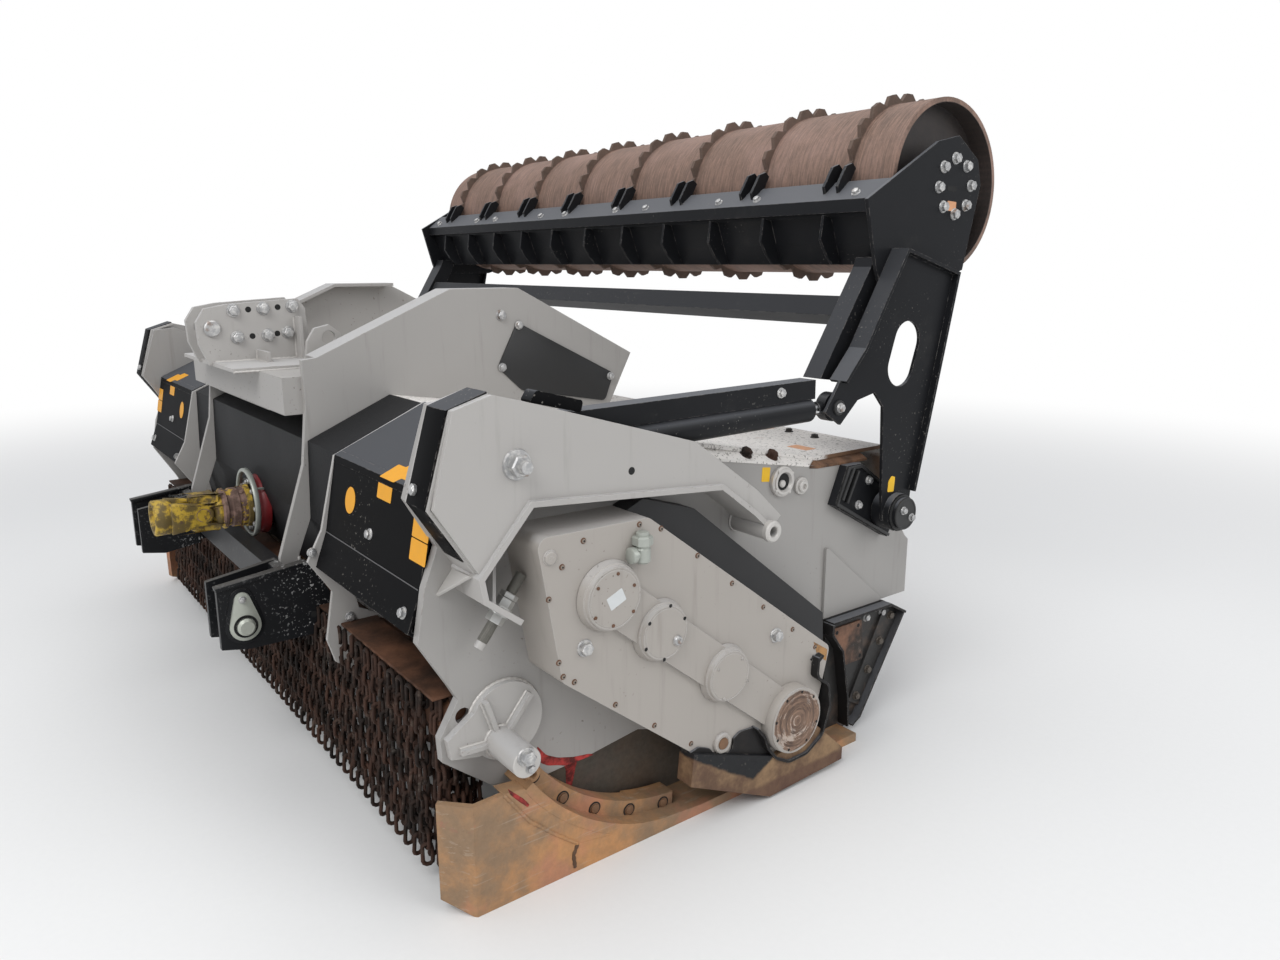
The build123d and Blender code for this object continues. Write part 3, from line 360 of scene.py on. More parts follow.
def hood_finish(palette):
    """Hood: black in front darkened further as painted shade, grey deck full of specks lightened as painted top light,
    rear wall darkened as painted shade and rusty.
    """
    f = Finish("hood_paint")
    place = f.node("ShaderNodeSeparateXYZ", None, {0: f.coords()}, output="Y")
    cloud = f.noise(2.1, 4.0)
    speck = f.above(f.noise(105.0, 2.0), 0.60, 0.03)
    pale = f.above(f.noise(85.0, 2.0), 0.62, 0.03)
    # Painted light: the deck is the frame paint lightened about 1.7 times for the light falling on top
    deck = f.shade(palette.frame_paint, 1.7 + 0.2 * cloud)
    deck = f.mix(speck * 0.6, deck, (0.12, 0.105, 0.09))
    deck = f.mix(pale * 0.6, deck, (0.62, 0.60, 0.57))
    deck = f.mix(f.above(f.noise(9.0, 5.0, 0.7), 0.64, 0.06) * 0.4, deck, (0.36, 0.20, 0.12))
    rust = f.mix(f.noise(12.0, 6.0, 0.65), (0.09, 0.05, 0.03), (0.27, 0.155, 0.09))
    # Painted shade: the black in front is darkened below the black paint for the recess behind the drive shaft
    black = f.shade(palette.black_paint, 0.5 + 0.4 * cloud)
    base = f.mix(f.above(place, -0.59, 0.01), black, deck)
    across = place.other("X").math("ABSOLUTE")
    # Painted shade: the rear wall is the frame paint darkened like the side plates
    wall = f.shade(palette.frame_paint, 0.78 + 0.12 * cloud)
    wall = f.mix(speck * 0.5, wall, palette.dirt)
    worn = f.above(f.noise(3.6, 6.0, 0.68), 0.54, 0.09)
    low = 1.0 - f.above(f.height() + 0.16 * (cloud - 0.5), 0.45, 0.10)
    ends = f.above(across + 0.10 * (cloud - 0.5), 1.33, 0.07)
    worn = worn.math("MAXIMUM", low).math("MAXIMUM", ends)
    wall = f.mix(worn * 0.85, wall, rust)
    base = f.mix(f.above(place, 0.703, 0.01), base, wall)
    skirt = f.above(across, 1.4235, 0.0005) * f.above(place, 0.42, 0.03)
    base = f.mix(skirt, base, rust)
    bump = f.bumped(speck + pale, 0.0006, 0.4, 0.003)
    return f.surface(base, 0.45 + 0.2 * cloud, normal=bump, specular=0.22)


def beam_finish(palette):
    """Front frame: grey upper beam, black lower bar."""
    f = Finish("front_frame_paint")
    cloud = f.noise(2.0, 4.0)
    spots = f.above(f.noise(90.0, 2.0), 0.68, 0.03)
    grey = f.mix(spots * 0.5, f.shade(palette.frame_paint, 0.8 + 0.2 * cloud), palette.dirt)
    black = f.mix(spots * 0.4, f.shade(palette.black_paint, 0.8 + 0.5 * cloud), palette.dust)
    base = f.mix(f.above(f.height(), 0.8, 0.01), black, grey)
    return f.surface(base, 0.4 + 0.2 * cloud, normal=f.bumped(f.noise(300.0, 1.0), 0.0004, 0.25, 0.003))


def yoke_finish(palette):
    """Yoke yellow under grease and grime, bare at the edges."""
    f = Finish("drive_yellow")
    cloud = f.noise(13.0, 5.0, 0.7)
    fine = f.noise(60.0, 4.0, 0.6)
    base = f.shade(palette.drive_yellow, 0.7 + 0.5 * fine)
    base = f.mix(f.above(cloud, 0.42, 0.12) * 0.82, base, (0.045, 0.034, 0.022))
    base = f.mix(f.above(f.noise(31.0, 5.0, 0.7), 0.58, 0.04) * 0.7, base, (0.10, 0.055, 0.035))
    base = f.mix(f.edges(0.004) * 0.6, base, (0.07, 0.05, 0.03))
    return f.surface(base, 0.45 + 0.25 * cloud, normal=f.bumped(cloud + fine, 0.0012, 0.5, 0.002))


def shield_finish(palette):
    """Case shield: black round the shaft, scraped down to brown steel below and behind."""
    f = Finish("scraped_shield")
    place = f.node("ShaderNodeSeparateXYZ", None, {0: f.coords()}, output="Y")
    high = place.other("Z")
    cloud = f.noise(7.0, 5.0, 0.65)
    fine = f.noise(45.0, 5.0, 0.65)
    rough_edge = 0.05 * (cloud - 0.5)
    before = f.above(high + 0.616 * place + rough_edge, 0.0635, 0.012)
    above = f.above(high - 0.62 * place + rough_edge, 0.1006, 0.012)
    black = f.shade(palette.black_paint, 0.7 + 0.9 * fine)
    black = f.mix(f.above(f.noise(30.0, 4.0, 0.7), 0.60, 0.06) * 0.35, black, (0.16, 0.14, 0.12))
    tan = f.mix(f.above(cloud, 0.40, 0.25), (0.12, 0.068, 0.042), (0.29, 0.185, 0.10))
    tan = f.shade(tan, 0.7 + 0.6 * fine)
    foot = 1.0 - f.above(high + 0.3 * rough_edge, 0.05, 0.015)
    tan = f.mix(foot * 0.7, tan, (0.10, 0.05, 0.036))
    base = f.mix(before * above, tan, black)
    return f.surface(base, 0.62, normal=f.bumped(fine + cloud, 0.0016, 0.5, 0.003), specular=0.3)


def clutch_finish(palette):
    """Brown clutch housing with patches of the yellow paint left on it."""
    f = Finish("clutch_brown")
    cloud = f.noise(30.0, 5.0, 0.65)
    base = f.mix(f.above(cloud, 0.42, 0.2), (0.11, 0.065, 0.05), (0.24, 0.15, 0.12))
    patch = f.above(f.noise(17.0, 5.0, 0.7), 0.56, 0.03)
    base = f.mix(patch * 0.8, base, palette.drive_yellow)
    return f.surface(base, 0.6 + 0.2 * cloud, normal=f.bumped(cloud, 0.0015, 0.5))


def ring_worn_finish(palette):
    """Rotor cover: paint worn off in rings down to rust."""
    f = Finish("ring_worn")
    place = f.placed(centre=(0.0, -ROTOR[0] * MM, -ROTOR[1] * MM))
    y = f.node("ShaderNodeSeparateXYZ", None, {0: place}, output="Y")
    z = y.other("Z")
    reach = (y * y + z * z).math("SQRT")
    place = f.node("ShaderNodeCombineXYZ", None, {0: reach * 110.0, 1: y * 16.0, 2: z * 16.0})
    rings = f.noise(1.0, 5.0, 0.7, place)
    cloud = f.noise(14.0, 5.0, 0.65)
    rust = f.mix(f.above(rings, 0.36, 0.3), (0.085, 0.05, 0.034), (0.27, 0.165, 0.11))
    rust = f.mix(f.above(rings + 0.9 * cloud, 1.02, 0.08) * 0.8, rust, (0.50, 0.42, 0.36))
    rust = f.mix(f.above(f.noise(28.0, 5.0, 0.7), 0.56, 0.05) * 0.6, rust, (0.07, 0.04, 0.028))
    painted = f.above(reach + 0.03 * (cloud - 0.5), 0.0885, 0.004)
    base = f.mix(painted, rust, palette.case_paint)
    return f.surface(base, 0.6, normal=f.bumped(rings, 0.0012, 0.5))


def plain_finish(name, colour, rough, metallic=0.0, mottle=0.25, scale=40.0):
    """Small parts: one colour with mottling and grain."""
    f = Finish(name)
    cloud = f.noise(scale, 4.0, 0.6)
    base = f.shade(colour, 1.0 - mottle / 2 + mottle * cloud)
    return f.surface(base, rough + 0.15 * (cloud - 0.5), metallic, f.bumped(cloud, 0.0005, 0.4))


def wear_finish(palette):
    """Wear plate: worn black below, its upper sheet grey, the frame paint darkened like the side plate as painted
    shade.
    """
    f = Finish("wear_plate_paint")
    cloud = f.noise(6.0, 5.0, 0.65)
    fine = f.noise(60.0, 4.0, 0.6)
    black = f.shade((0.02, 0.019, 0.018), 0.6 + 0.8 * fine)
    black = f.mix(f.above(cloud, 0.50, 0.2) * 0.6, black, (0.13, 0.085, 0.06))
    # Painted shade: the grey sheet is the frame paint darkened to 0.74-0.85, like the side plates
    grey = f.shade(palette.frame_paint, 0.74 + 0.11 * f.noise(1.7, 4.0))
    upper = f.above(f.height(), 0.4095, 0.001)
    base = f.mix(upper, black, grey)
    return f.surface(base, 0.5 + 0.1 * cloud, normal=f.bumped(fine, 0.0006, 0.4, 0.003))


def rod_finish(palette):
    """Lift rod: chrome, with the black eye at its rear end."""
    f = Finish("rod_chrome")
    place = f.node("ShaderNodeSeparateXYZ", None, {0: f.coords()}, output="Y")
    eye = f.above(place, 0.300, 0.004)
    cloud = f.noise(20.0, 3.0)
    base = f.mix(eye, (0.62, 0.62, 0.62), f.shade(palette.black_paint, 0.8 + 0.5 * cloud))
    return f.surface(base, 0.13 + 0.3 * eye, 1.0 - eye)


def floor_finish():
    """Pale floor that fades into the white backdrop far from the machine."""
    f = Finish("floor_pale")
    grain = f.noise(55.0, 3.0)
    f.surface(f.shade((0.80, 0.80, 0.79), 0.985 + 0.03 * grain), 0.9)
    shader = Sock(f, f.output.inputs["Surface"].links[0].from_socket)
    reach = f.node("ShaderNodeVectorMath", {"operation": "LENGTH"}, {0: f.coords()}, output="Value")
    seen = f.node("ShaderNodeLightPath", output="Is Camera Ray")
    far = f.above(reach, 3.2, 5.5) * seen
    white = f.node("ShaderNodeEmission", None, {0: (1.0, 1.0, 1.0, 1.0), 1: 1.0})
    both = f.node("ShaderNodeMixShader", None, {0: far, 1: shader, 2: white})
    f.tree.links.new(both.socket, f.output.inputs["Surface"])
    return f.material


class MulcherColours(bpy.types.PropertyGroup):
    """Colours of the paints and metals."""

    frame_paint: FloatVectorProperty(
        name="Frame paint",
        description="Warm light grey of the chamber, guards and cheeks",
        subtype="COLOR",
        default=(0.42, 0.404, 0.384),
    )
    case_paint: FloatVectorProperty(
        name="Gear case paint",
        description="Grey of the gear cases",
        subtype="COLOR",
        default=(0.385, 0.355, 0.322),
    )
    black_paint: FloatVectorProperty(
        name="Black paint",
        description="Satin black of the covers, arms and roller frame",
        subtype="COLOR",
        default=(0.011, 0.0115, 0.013),
    )
    dirt: FloatVectorProperty(
        name="Dirt", description="Dried soil", subtype="COLOR", default=(0.09, 0.065, 0.045)
    )
    dust: FloatVectorProperty(
        name="Dust", description="Film of dust", subtype="COLOR", default=(0.16, 0.15, 0.135)
    )
    skid_orange: FloatVectorProperty(
        name="Skid rust, bright",
        description="Orange-brown of the worn soles",
        subtype="COLOR",
        default=(0.52, 0.26, 0.105),
    )
    skid_dark: FloatVectorProperty(
        name="Skid rust, dark",
        description="Darker brown of the soles",
        subtype="COLOR",
        default=(0.26, 0.17, 0.10),
    )
    roller_rust: FloatVectorProperty(
        name="Roller rust", description="Brown of the drum", subtype="COLOR", default=(0.275, 0.170, 0.127)
    )
    roller_dark: FloatVectorProperty(
        name="Roller, dark", description="Dark streaks", subtype="COLOR", default=(0.11, 0.075, 0.058)
    )
    roller_pink: FloatVectorProperty(
        name="Roller, pale", description="Pale brown-pink", subtype="COLOR", default=(0.38, 0.25, 0.21)
    )
    drive_yellow: FloatVectorProperty(
        name="Drive yellow", description="Yoke paint", subtype="COLOR", default=(0.56, 0.37, 0.035)
    )
    bell_red: FloatVectorProperty(
        name="Bell red", description="Shaft bell", subtype="COLOR", default=(0.20, 0.015, 0.018)
    )
    sticker_orange: FloatVectorProperty(
        name="Sticker", description="Blank stickers", subtype="COLOR", default=(0.77, 0.345, 0.007)
    )


class MulcherSizes(bpy.types.PropertyGroup):
    """Sizes of the repeated small parts."""

    link_length: FloatProperty(
        name="Link length", description="Outside length of a link", default=0.068, unit="LENGTH"
    )
    link_width: FloatProperty(
        name="Link width", description="Outside width of a link", default=0.037, unit="LENGTH"
    )
    link_wire: FloatProperty(
        name="Link wire", description="Thickness of the link's rod", default=0.0115, unit="LENGTH"
    )
    links: IntProperty(name="Links", description="Links of one strand", default=10, min=2)
    strand_step: FloatProperty(
        name="Strand step", description="Distance of strands in a row", default=0.054, unit="LENGTH"
    )


# Meshes


def piece(name, mesh, material, body):
    """Object of a finished mesh, with its finish, riding on a body."""
    obj = bpy.data.objects.new(name, mesh)
    bpy.context.scene.collection.objects.link(obj)
    mesh.materials.clear()
    mesh.materials.append(material)
    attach(obj, body)
    return obj


def finished_mesh(name, bm, smooth_angle=35.0):
    """Mesh of a bmesh: doubles merged, normals outward, smooth below an angle."""
    bmesh.ops.remove_doubles(bm, verts=bm.verts, dist=1e-6)
    bmesh.ops.recalc_face_normals(bm, faces=bm.faces)
    mesh = bpy.data.meshes.new(name)
    bm.to_mesh(mesh)
    bm.free()
    for polygon in mesh.polygons:
        polygon.use_smooth = True
    mesh.set_sharp_from_angle(angle=math.radians(smooth_angle))
    return mesh


def grow(points, group, material, values):
    """Runs a geometry tree on a mesh of points and hands back the plain mesh it makes."""
    obj = bpy.data.objects.new("growing", points)
    bpy.context.scene.collection.objects.link(obj)
    modifier = obj.modifiers.new("growth", "NODES")
    modifier.node_group = group
    for item in group.interface.items_tree:
        if item.item_type == "SOCKET" and item.in_out == "INPUT" and item.name in values:
            modifier[item.identifier] = values[item.name]
        if item.item_type == "SOCKET" and item.in_out == "INPUT" and item.name == "Finish":
            modifier[item.identifier] = material
    bpy.context.view_layer.update()
    depsgraph = bpy.context.evaluated_depsgraph_get()
    mesh = bpy.data.meshes.new_from_object(obj.evaluated_get(depsgraph))
    obj.modifiers.remove(modifier)
    bpy.data.objects.remove(obj)
    return mesh


class Growth(Graph):
    """A geometry tree with named inputs."""

    def __init__(self, name, sizes):
        tree = bpy.data.node_groups.new(name, "GeometryNodeTree")
        super().__init__(tree)
        tree.interface.new_socket("Points", in_out="INPUT", socket_type="NodeSocketGeometry")
        for size_name, kind, value in sizes:
            made = tree.interface.new_socket(size_name, in_out="INPUT", socket_type=kind)
            made.default_value = value
        tree.interface.new_socket("Finish", in_out="INPUT", socket_type="NodeSocketMaterial")
        tree.interface.new_socket("Mesh", in_out="OUTPUT", socket_type="NodeSocketGeometry")
        self.inputs = self.node("NodeGroupInput")
        self.end = self.node("NodeGroupOutput")

    def take(self, name):
        return self.inputs.other(name)

    def instance(self, points, shape, turn, scale):
        placed = self.node(
            "GeometryNodeInstanceOnPoints",
            None,
            {"Points": points, "Instance": shape, "Rotation": turn, "Scale": scale},
        )
        return placed

    def attribute(self, name, kind):
        made = self.node("GeometryNodeInputNamedAttribute", {"data_type": kind}, {"Name": name})
        return made

    def join(self, *parts):
        made = self.tree.nodes.new("GeometryNodeJoinGeometry")
        for part in parts:
            self.tree.links.new(part.socket, made.inputs[0])
        return Sock(self, made.outputs[0])

    def finish(self, geometry):
        real = self.node("GeometryNodeRealizeInstances", None, {0: geometry})
        done = self.node(
            "GeometryNodeSetMaterial", None, {"Geometry": real, "Material": self.take("Finish")}
        )
        self.tree.links.new(done.socket, self.end.inputs[0])
        return self.tree


def moved(g, geometry, height):
    """Geometry lifted along its own axis."""
    offset = g.node("ShaderNodeCombineXYZ", None, {2: height})
    return g.node("GeometryNodeTransform", None, {"Geometry": geometry, "Translation": offset})


def fastener_tree():
    """Bolt heads: washer, prism with a chamfered top and a short threaded end."""
    g = Growth(
        "fasteners",
        (
            ("Sides", "NodeSocketInt", 6),
            ("Head radius", "NodeSocketFloat", 0.014),
            ("Head height", "NodeSocketFloat", 0.010),
            ("Washer radius", "NodeSocketFloat", 0.018),
            ("Washer thickness", "NodeSocketFloat", 0.003),
            ("End radius", "NodeSocketFloat", 0.008),
            ("End height", "NodeSocketFloat", 0.002),
        ),
    )
    radius = g.take("Head radius")
    high = g.take("Head height")
    thick = g.take("Washer thickness")
    washer = g.node(
        "GeometryNodeMeshCone",
        None,
        {
            "Vertices": 20,
            "Radius Top": g.take("Washer radius") * 0.93,
            "Radius Bottom": g.take("Washer radius"),
            "Depth": thick,
        },
    )
    head = g.node(
        "GeometryNodeMeshCone",
        None,
        {
            "Vertices": g.take("Sides"),
            "Radius Top": radius,
            "Radius Bottom": radius,
            "Depth": high * 0.82,
        },
    )
    top = g.node(
        "GeometryNodeMeshCone",
        None,
        {
            "Vertices": g.take("Sides"),
            "Radius Top": radius * 0.84,
            "Radius Bottom": radius,
            "Depth": high * 0.18,
        },
    )
    end = g.node(
        "GeometryNodeMeshCone",
        None,
        {
            "Vertices": 10,
            "Radius Top": g.take("End radius") * 0.85,
            "Radius Bottom": g.take("End radius"),
            "Depth": g.take("End height"),
        },
    )
    shape = g.join(
        washer,
        moved(g, head, thick),
        moved(g, top, thick + high * 0.82),
        moved(g, end, thick + high),
    )
    turn = g.attribute("turn", "FLOAT_VECTOR")
    size = g.attribute("size", "FLOAT")
    placed = g.instance(g.take("Points"), shape, turn, size)
    return g.finish(placed)


# Name: sides, head radius, head height, washer radius, washer thickness, end radius, end height
FASTENERS = {
    "big": (6, 17.0, 14.0, 22.0, 4.0, 9.0, 1.0),
    "large": (6, 15.0, 12.0, 19.0, 3.5, 8.0, 1.0),
    "medium": (6, 11.5, 9.0, 15.0, 3.0, 6.0, 1.0),
    "small": (6, 8.5, 7.0, 11.0, 2.0, 4.5, 1.0),
    "screw": (14, 4.2, 2.6, 5.4, 0.8, 2.0, 0.2),
    "screw_ring": (16, 6.9, 1.2, 7.5, 0.7, 5.8, 0.2),
    "screw_head": (16, 5.1, 3.6, 5.2, 0.4, 4.0, 0.1),
    "socket": (6, 2.9, 4.2, 2.9, 0.2, 2.4, 0.05),
    "pit": (14, 4.6, 0.4, 5.0, 0.15, 4.2, 0.05),
    "nut": (6, 27.0, 22.0, 36.0, 6.0, 17.0, 18.0),
    "plug": (16, 15.0, 5.0, 19.0, 2.0, 6.0, 0.4),
    "hole": (18, 9.0, 0.35, 9.6, 0.15, 8.4, 0.05),
    "rivet": (16, 12.0, 5.0, 18.0, 0.8, 5.0, 0.3),
}
FASTENER_NAMES = (
    "Sides",
    "Head radius",
    "Head height",
    "Washer radius",
    "Washer thickness",
    "End radius",
    "End height",
)


def point_mesh(rows):
    """Points with the turn and size of what stands on them; rows are place, facing, size."""
    mesh = bpy.data.meshes.new("points")
    mesh.from_pydata([row[0] for row in rows], [], [])
    mesh.attributes.new("turn", "FLOAT_VECTOR", "POINT")
    mesh.attributes.new("size", "FLOAT", "POINT")
    turns = mesh.attributes["turn"]
    sizes = mesh.attributes["size"]
    for i, (place, facing, size) in enumerate(rows):
        quaternion = Vector(facing).to_track_quat("Z", "Y")
        spin = Matrix.Rotation(math.radians((i * 37) % 60), 3, "Z")
        euler = (quaternion.to_matrix() @ spin).to_euler()
        turns.data[i].vector = (euler.x, euler.y, euler.z)
        sizes.data[i].value = size
    return mesh


def add_fasteners(name, kind, rows, material, body):
    """One piece of like fasteners; rows are (place in metres, facing, size)."""
    values = {}
    for key, value in zip(FASTENER_NAMES, FASTENERS[kind]):
        values[key] = int(value) if key == "Sides" else value * MM
    mesh = grow(point_mesh(rows), bpy.data.node_groups["fasteners"], material, values)
    return piece(name, mesh, material, body)


# Screws round the gear cases: distance back and height
CASE_SCREWS = [
    (-419, 897), (-353, 875), (-580, 886), (-639, 835), (-676, 766), (-653, 607), (-642, 569),
    (-611, 547), (-493, 453), (-371, 358), (-247, 265), (-234, 783), (-112, 683), (7, 589),
    (127, 494), (225, 415),
]
# Bolts that face out to the sides: kind, finish, distance from the centre line, places
SIDE_BOLTS = {
    "tower_bolts": (
        "big",
        "zinc_bolts",
        80.0,
        [(-903, 1354), (-809, 1358), (-715, 1363), (-897, 1268), (-800, 1271), (-735, 1277)],
    ),
    "tower_holes": (
        "hole",
        "deep_shadow",
        80.0,
        [(-856, 1356), (-762, 1361), (-850, 1270), (-770, 1275)],
    ),
    "cheek_bolts": ("large", "zinc_bolts", 560.0, [(-193, 1336)]),
    "guard_nuts": ("nut", "zinc_bolts", 1570.0, [(-730, 1078)]),
    "guard_holes": ("hole", "deep_shadow", 1570.0, [(-419, 1022)]),
    "case_bolts": ("big", "zinc_bolts", 1600.0, [(-581, 625), (59, 494)]),
    "case_plugs": ("plug", "gear_case_paint", 1600.0, [(-670, 863)]),
    "case_screws": ("screw_ring", "rusty_screws", 1600.0, CASE_SCREWS),
    "case_screw_heads": ("screw_head", "screw_grey", 1600.0, CASE_SCREWS),
    "case_sockets": ("socket", "deep_shadow", 1600.0, CASE_SCREWS),
    "cover_screws": (
        "screw",
        "rusty_screws",
        1630.0,
        [(-562, 776), (-505, 800), (-458, 762), (-461, 697), (-520, 675), (-570, 706)],
    ),
    "faint_screws": (
        "screw",
        "gear_case_paint",
        1630.0,
        [(-182, 469), (-160, 380), (-97, 476), (-75, 405)],
    ),
    "dark_pits": (
        "pit",
        "deep_shadow",
        1631.0,
        [(-411, 653), (-300, 640), (-346, 684), (-365, 547), (-422, 589)],
    ),
    "rotor_pits": (
        "pit",
        "deep_shadow",
        1642.4,
        [(71, 307), (131, 317), (180, 288), (31, 252), (38, 196), (85, 152), (158, 158), (197, 205)],
    ),
    "wear_bolts": (
        "medium",
        "black_bolts",
        1480.0,
        [(730, 356), (681, 277), (627, 189), (575, 110)],
    ),
    "bracket_bolts": ("medium", "zinc_bolts", 1480.0, [(534, 768), (579, 841)]),
    "rail_bolts": (
        "rivet",
        "rusty_bolts",
        1500.0,
        [(-587, 186), (-490, 118), (-378, 70), (-261, 46), (-670, 276)],
    ),
}


class MULCHER_OT_finishes(bpy.types.Operator):
    """Paints the carried-over nodes"""

    bl_idname = "mulcher.finishes"
    bl_label = "Paint and rust"

    def execute(self, context):
        c = context.scene.mulcher_colours
        made = {
            "frame": paint_finish("frame_paint", c.frame_paint, c.dirt, 0.36, 0.55, 0.6),
            "case": paint_finish("gear_case_paint", c.case_paint, c.dirt, 0.34, 0.4, 0.7),
            # Painted shade: cheeks and side plates take the frame paint darkened to 0.86 and 0.79, shaded copies of one
            # paint
            "cheek": paint_finish("cheek_paint", [0.86 * v for v in c.frame_paint], c.dirt, 0.38, 0.5, 0.6),
            "side": paint_finish("side_paint", [0.79 * v for v in c.frame_paint], c.dirt, 0.38, 0.5, 0.6),
            "black": black_finish("black_paint", c.black_paint, c.dust, 0.30, dull=0.56),
            "cover": black_finish("cover_black", (0.006, 0.006, 0.0065), c.dust, 0.42, 0.5, 0.03, 0.03, 0.33),
            "shield": shield_finish(c),
            "speckled": clevis_finish(c),
            "skid": skid_finish(c),
            "roller": roller_finish(c),
            "rotor": rust_finish("rotor_steel", (0.05, 0.032, 0.022), (0.13, 0.075, 0.045), 6.0, 0.2),
            # Chain rust darker than the rust alone: real dark rust and painted shade of the deep shadow round the
            # curtain
            "chain": rust_finish("chain_rust", (0.010, 0.006, 0.004), (0.058, 0.027, 0.017), 9.0, 0.1),
            "wear": black_finish("worn_black", (0.018, 0.017, 0.017), (0.2, 0.15, 0.11), 0.4, 0.7),
            "yellow": yoke_finish(c),
            "bar": rust_finish("bar_rust", (0.030, 0.016, 0.010), (0.155, 0.070, 0.038), 4.0, 0.0),
            "beam": beam_finish(c),
            "deck": hood_finish(c),
            "rod": rod_finish(c),
            "tray": wear_finish(c),
            "rubber": plain_finish("seal_rubber", (0.018, 0.018, 0.019), 0.6, 0.0, 0.4),
        }
        zinc_finish()
        plain_finish("deep_shadow", (0.006, 0.006, 0.006), 0.8, 0.0, 0.3)
        plain_finish("dark_steel", (0.03, 0.028, 0.026), 0.45, 0.5, 0.4)
        plain_finish("rusty_screws", (0.14, 0.07, 0.04), 0.6, 0.2, 0.7)
        plain_finish("screw_grey", (0.24, 0.20, 0.165), 0.5, 0.2, 0.5)
        rust_finish("deck_rust", (0.06, 0.034, 0.022), (0.24, 0.13, 0.075), 10.0, 0.1)
        plain_finish("rusty_bolts", (0.20, 0.11, 0.06), 0.62, 0.2, 0.6)
        plain_finish("label_white", (0.62, 0.64, 0.64), 0.5, 0.0, 0.15)
        plain_finish("fitting_zinc", (0.40, 0.42, 0.38), 0.4, 0.4, 0.3)
        plain_finish("thread_steel", (0.235, 0.228, 0.205), 0.42, 0.45, 0.5)
        plain_finish("bright_zinc", (0.52, 0.52, 0.50), 0.36, 0.55, 0.35)
        plain_finish("pale_zinc", (0.46, 0.48, 0.42), 0.42, 0.35, 0.25)
        plain_finish("bell_red", c.bell_red, 0.4, 0.0, 0.5)
        plain_finish("fold_worn", (0.10, 0.10, 0.102), 0.5, 0.0, 0.3)
        plain_finish("sticker_orange", c.sticker_orange, 0.45, 0.0, 0.2)
        plain_finish("sticker_yellow", (0.80, 0.47, 0.012), 0.45, 0.0, 0.2)
        plain_finish("sticker_faded", (0.66, 0.33, 0.17), 0.5, 0.0, 0.5)
        rust_finish("red_trace", (0.10, 0.018, 0.016), (0.50, 0.055, 0.05), 34.0, 0.0)
        rust_finish("stain_rust", (0.20, 0.12, 0.065), (0.46, 0.25, 0.10), 24.0, 0.15)
        rust_finish("wear_rust", (0.045, 0.038, 0.034), (0.24, 0.13, 0.085), 9.0, 0.15)
        clutch_finish(c)
        ring_worn_finish(c)
        plain_finish("black_bolts", (0.10, 0.085, 0.07), 0.5, 0.4, 0.6)
        looks = {
            "gear_case": "case",
            "guard": "frame",
            "side_plate": "side",
            "front_cover": "cover",
            "cheek": "cheek",
            "top_link_tower": "frame",
            "support_pad": "frame",
            "panel": "frame",
            "hood": "deck",
            "hitch_clevis": "speckled",
            "skid": "skid",
            "roller": "roller",
            "rotor": "rotor",
            "chain_curtain": "chain",
            "wear_plate": "tray",
            "case_shield": "shield",
            "input_shaft": "yellow",
            "seal_strip": "rubber",
            "lift_rod": "rod",
            "push_bar": "bar",
            "front_frame": "beam",
        }
        for name, node in NODES.items():
            plain = name.replace("left_", "").replace("right_", "")
            material = made[looks.get(plain, "black")]
            for slot in node.material_slots:
                slot.material = material
        return {"FINISHED"}


class MULCHER_OT_fasteners(bpy.types.Operator):
    """Bolts, screws, nuts and plugs on the sides"""

    bl_idname = "mulcher.fasteners"
    bl_label = "Bolts and screws"

    def execute(self, context):
        fastener_tree()
        for name, (kind, finish, x, places) in SIDE_BOLTS.items():
            rows = []
            for side, s in SIDES:
                rows += [(at(s * x, y, z), (s, 0, 0), 1.0) for y, z in places]
            add_fasteners(name, kind, rows, bpy.data.materials[finish], "frame")
        rows = []
        for side, s in SIDES:
            for i in range(8):
                angle = math.radians(45.0 * i + 4.0)
                y = ROLLER[0] + 83.0 * math.cos(angle)
                z = ROLLER[1] + 83.0 * math.sin(angle)
                rows.append((at(s * 1492.0, y, z), (s, 0, 0), 1.0))
        material = bpy.data.materials["zinc_bolts"]
        add_fasteners("hub_bolts", "large", rows, material, "roller_arms")
        return {"FINISHED"}


# Strands that close the ends of the curtain: distance from the centre line, distance back
END_STRANDS = ((1397, -862), (1397, -836), (1397, -812), (1384, -788), (1360, -836), (1360, -806), (1382, -764))


class MULCHER_OT_chains(bpy.types.Operator):
    """Chain links in front of the rotor"""

    bl_idname = "mulcher.chains"
    bl_label = "Chain curtain"

    def execute(self, context):
        sizes = context.scene.mulcher_sizes
        tree = chain_tree()
        top = 500.0
        rows = []
        for row, y in enumerate((-891.0, -862.0)):
            count = int(2.72 / sizes.strand_step) + 1 + row
            for i in range(count):
                x = (i - (count - 1) / 2) * sizes.strand_step / MM
                if row == 1 and min(abs(abs(x) - 814.0), abs(abs(x) - 630.0)) < 25.0:
                    continue
                rows.append((at(x, y, top), (0, 0, 1), 1.0))
        for side, s in SIDES:
            for x, y in END_STRANDS:
                rows.append((at(s * x, y, top), (0, 0, 1), 1.0))
        values = {
            "Length": sizes.link_length,
            "Width": sizes.link_width,
            "Wire": sizes.link_wire,
            "Links": sizes.links,
        }
        material = bpy.data.materials["chain_rust"]
        mesh = grow(point_mesh(rows), tree, material, values)
        for polygon in mesh.polygons:
            polygon.use_smooth = True
        chains = piece("chain_links", mesh, material, "frame")
        bm = bmesh.new()
        for x_from, x_to in ((-618, 618), (642, 806), (822, 1413), (-806, -642), (-1413, -822)):
            add_box(bm, x_from, x_to, -884.0, -780.0, 505.0, 513.0)
        material = bpy.data.materials["bar_rust"]
        piece("chain_strip", finished_mesh("chain_strip", bm), material, "frame")
        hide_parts("chain_curtain")
        return {"FINISHED"}


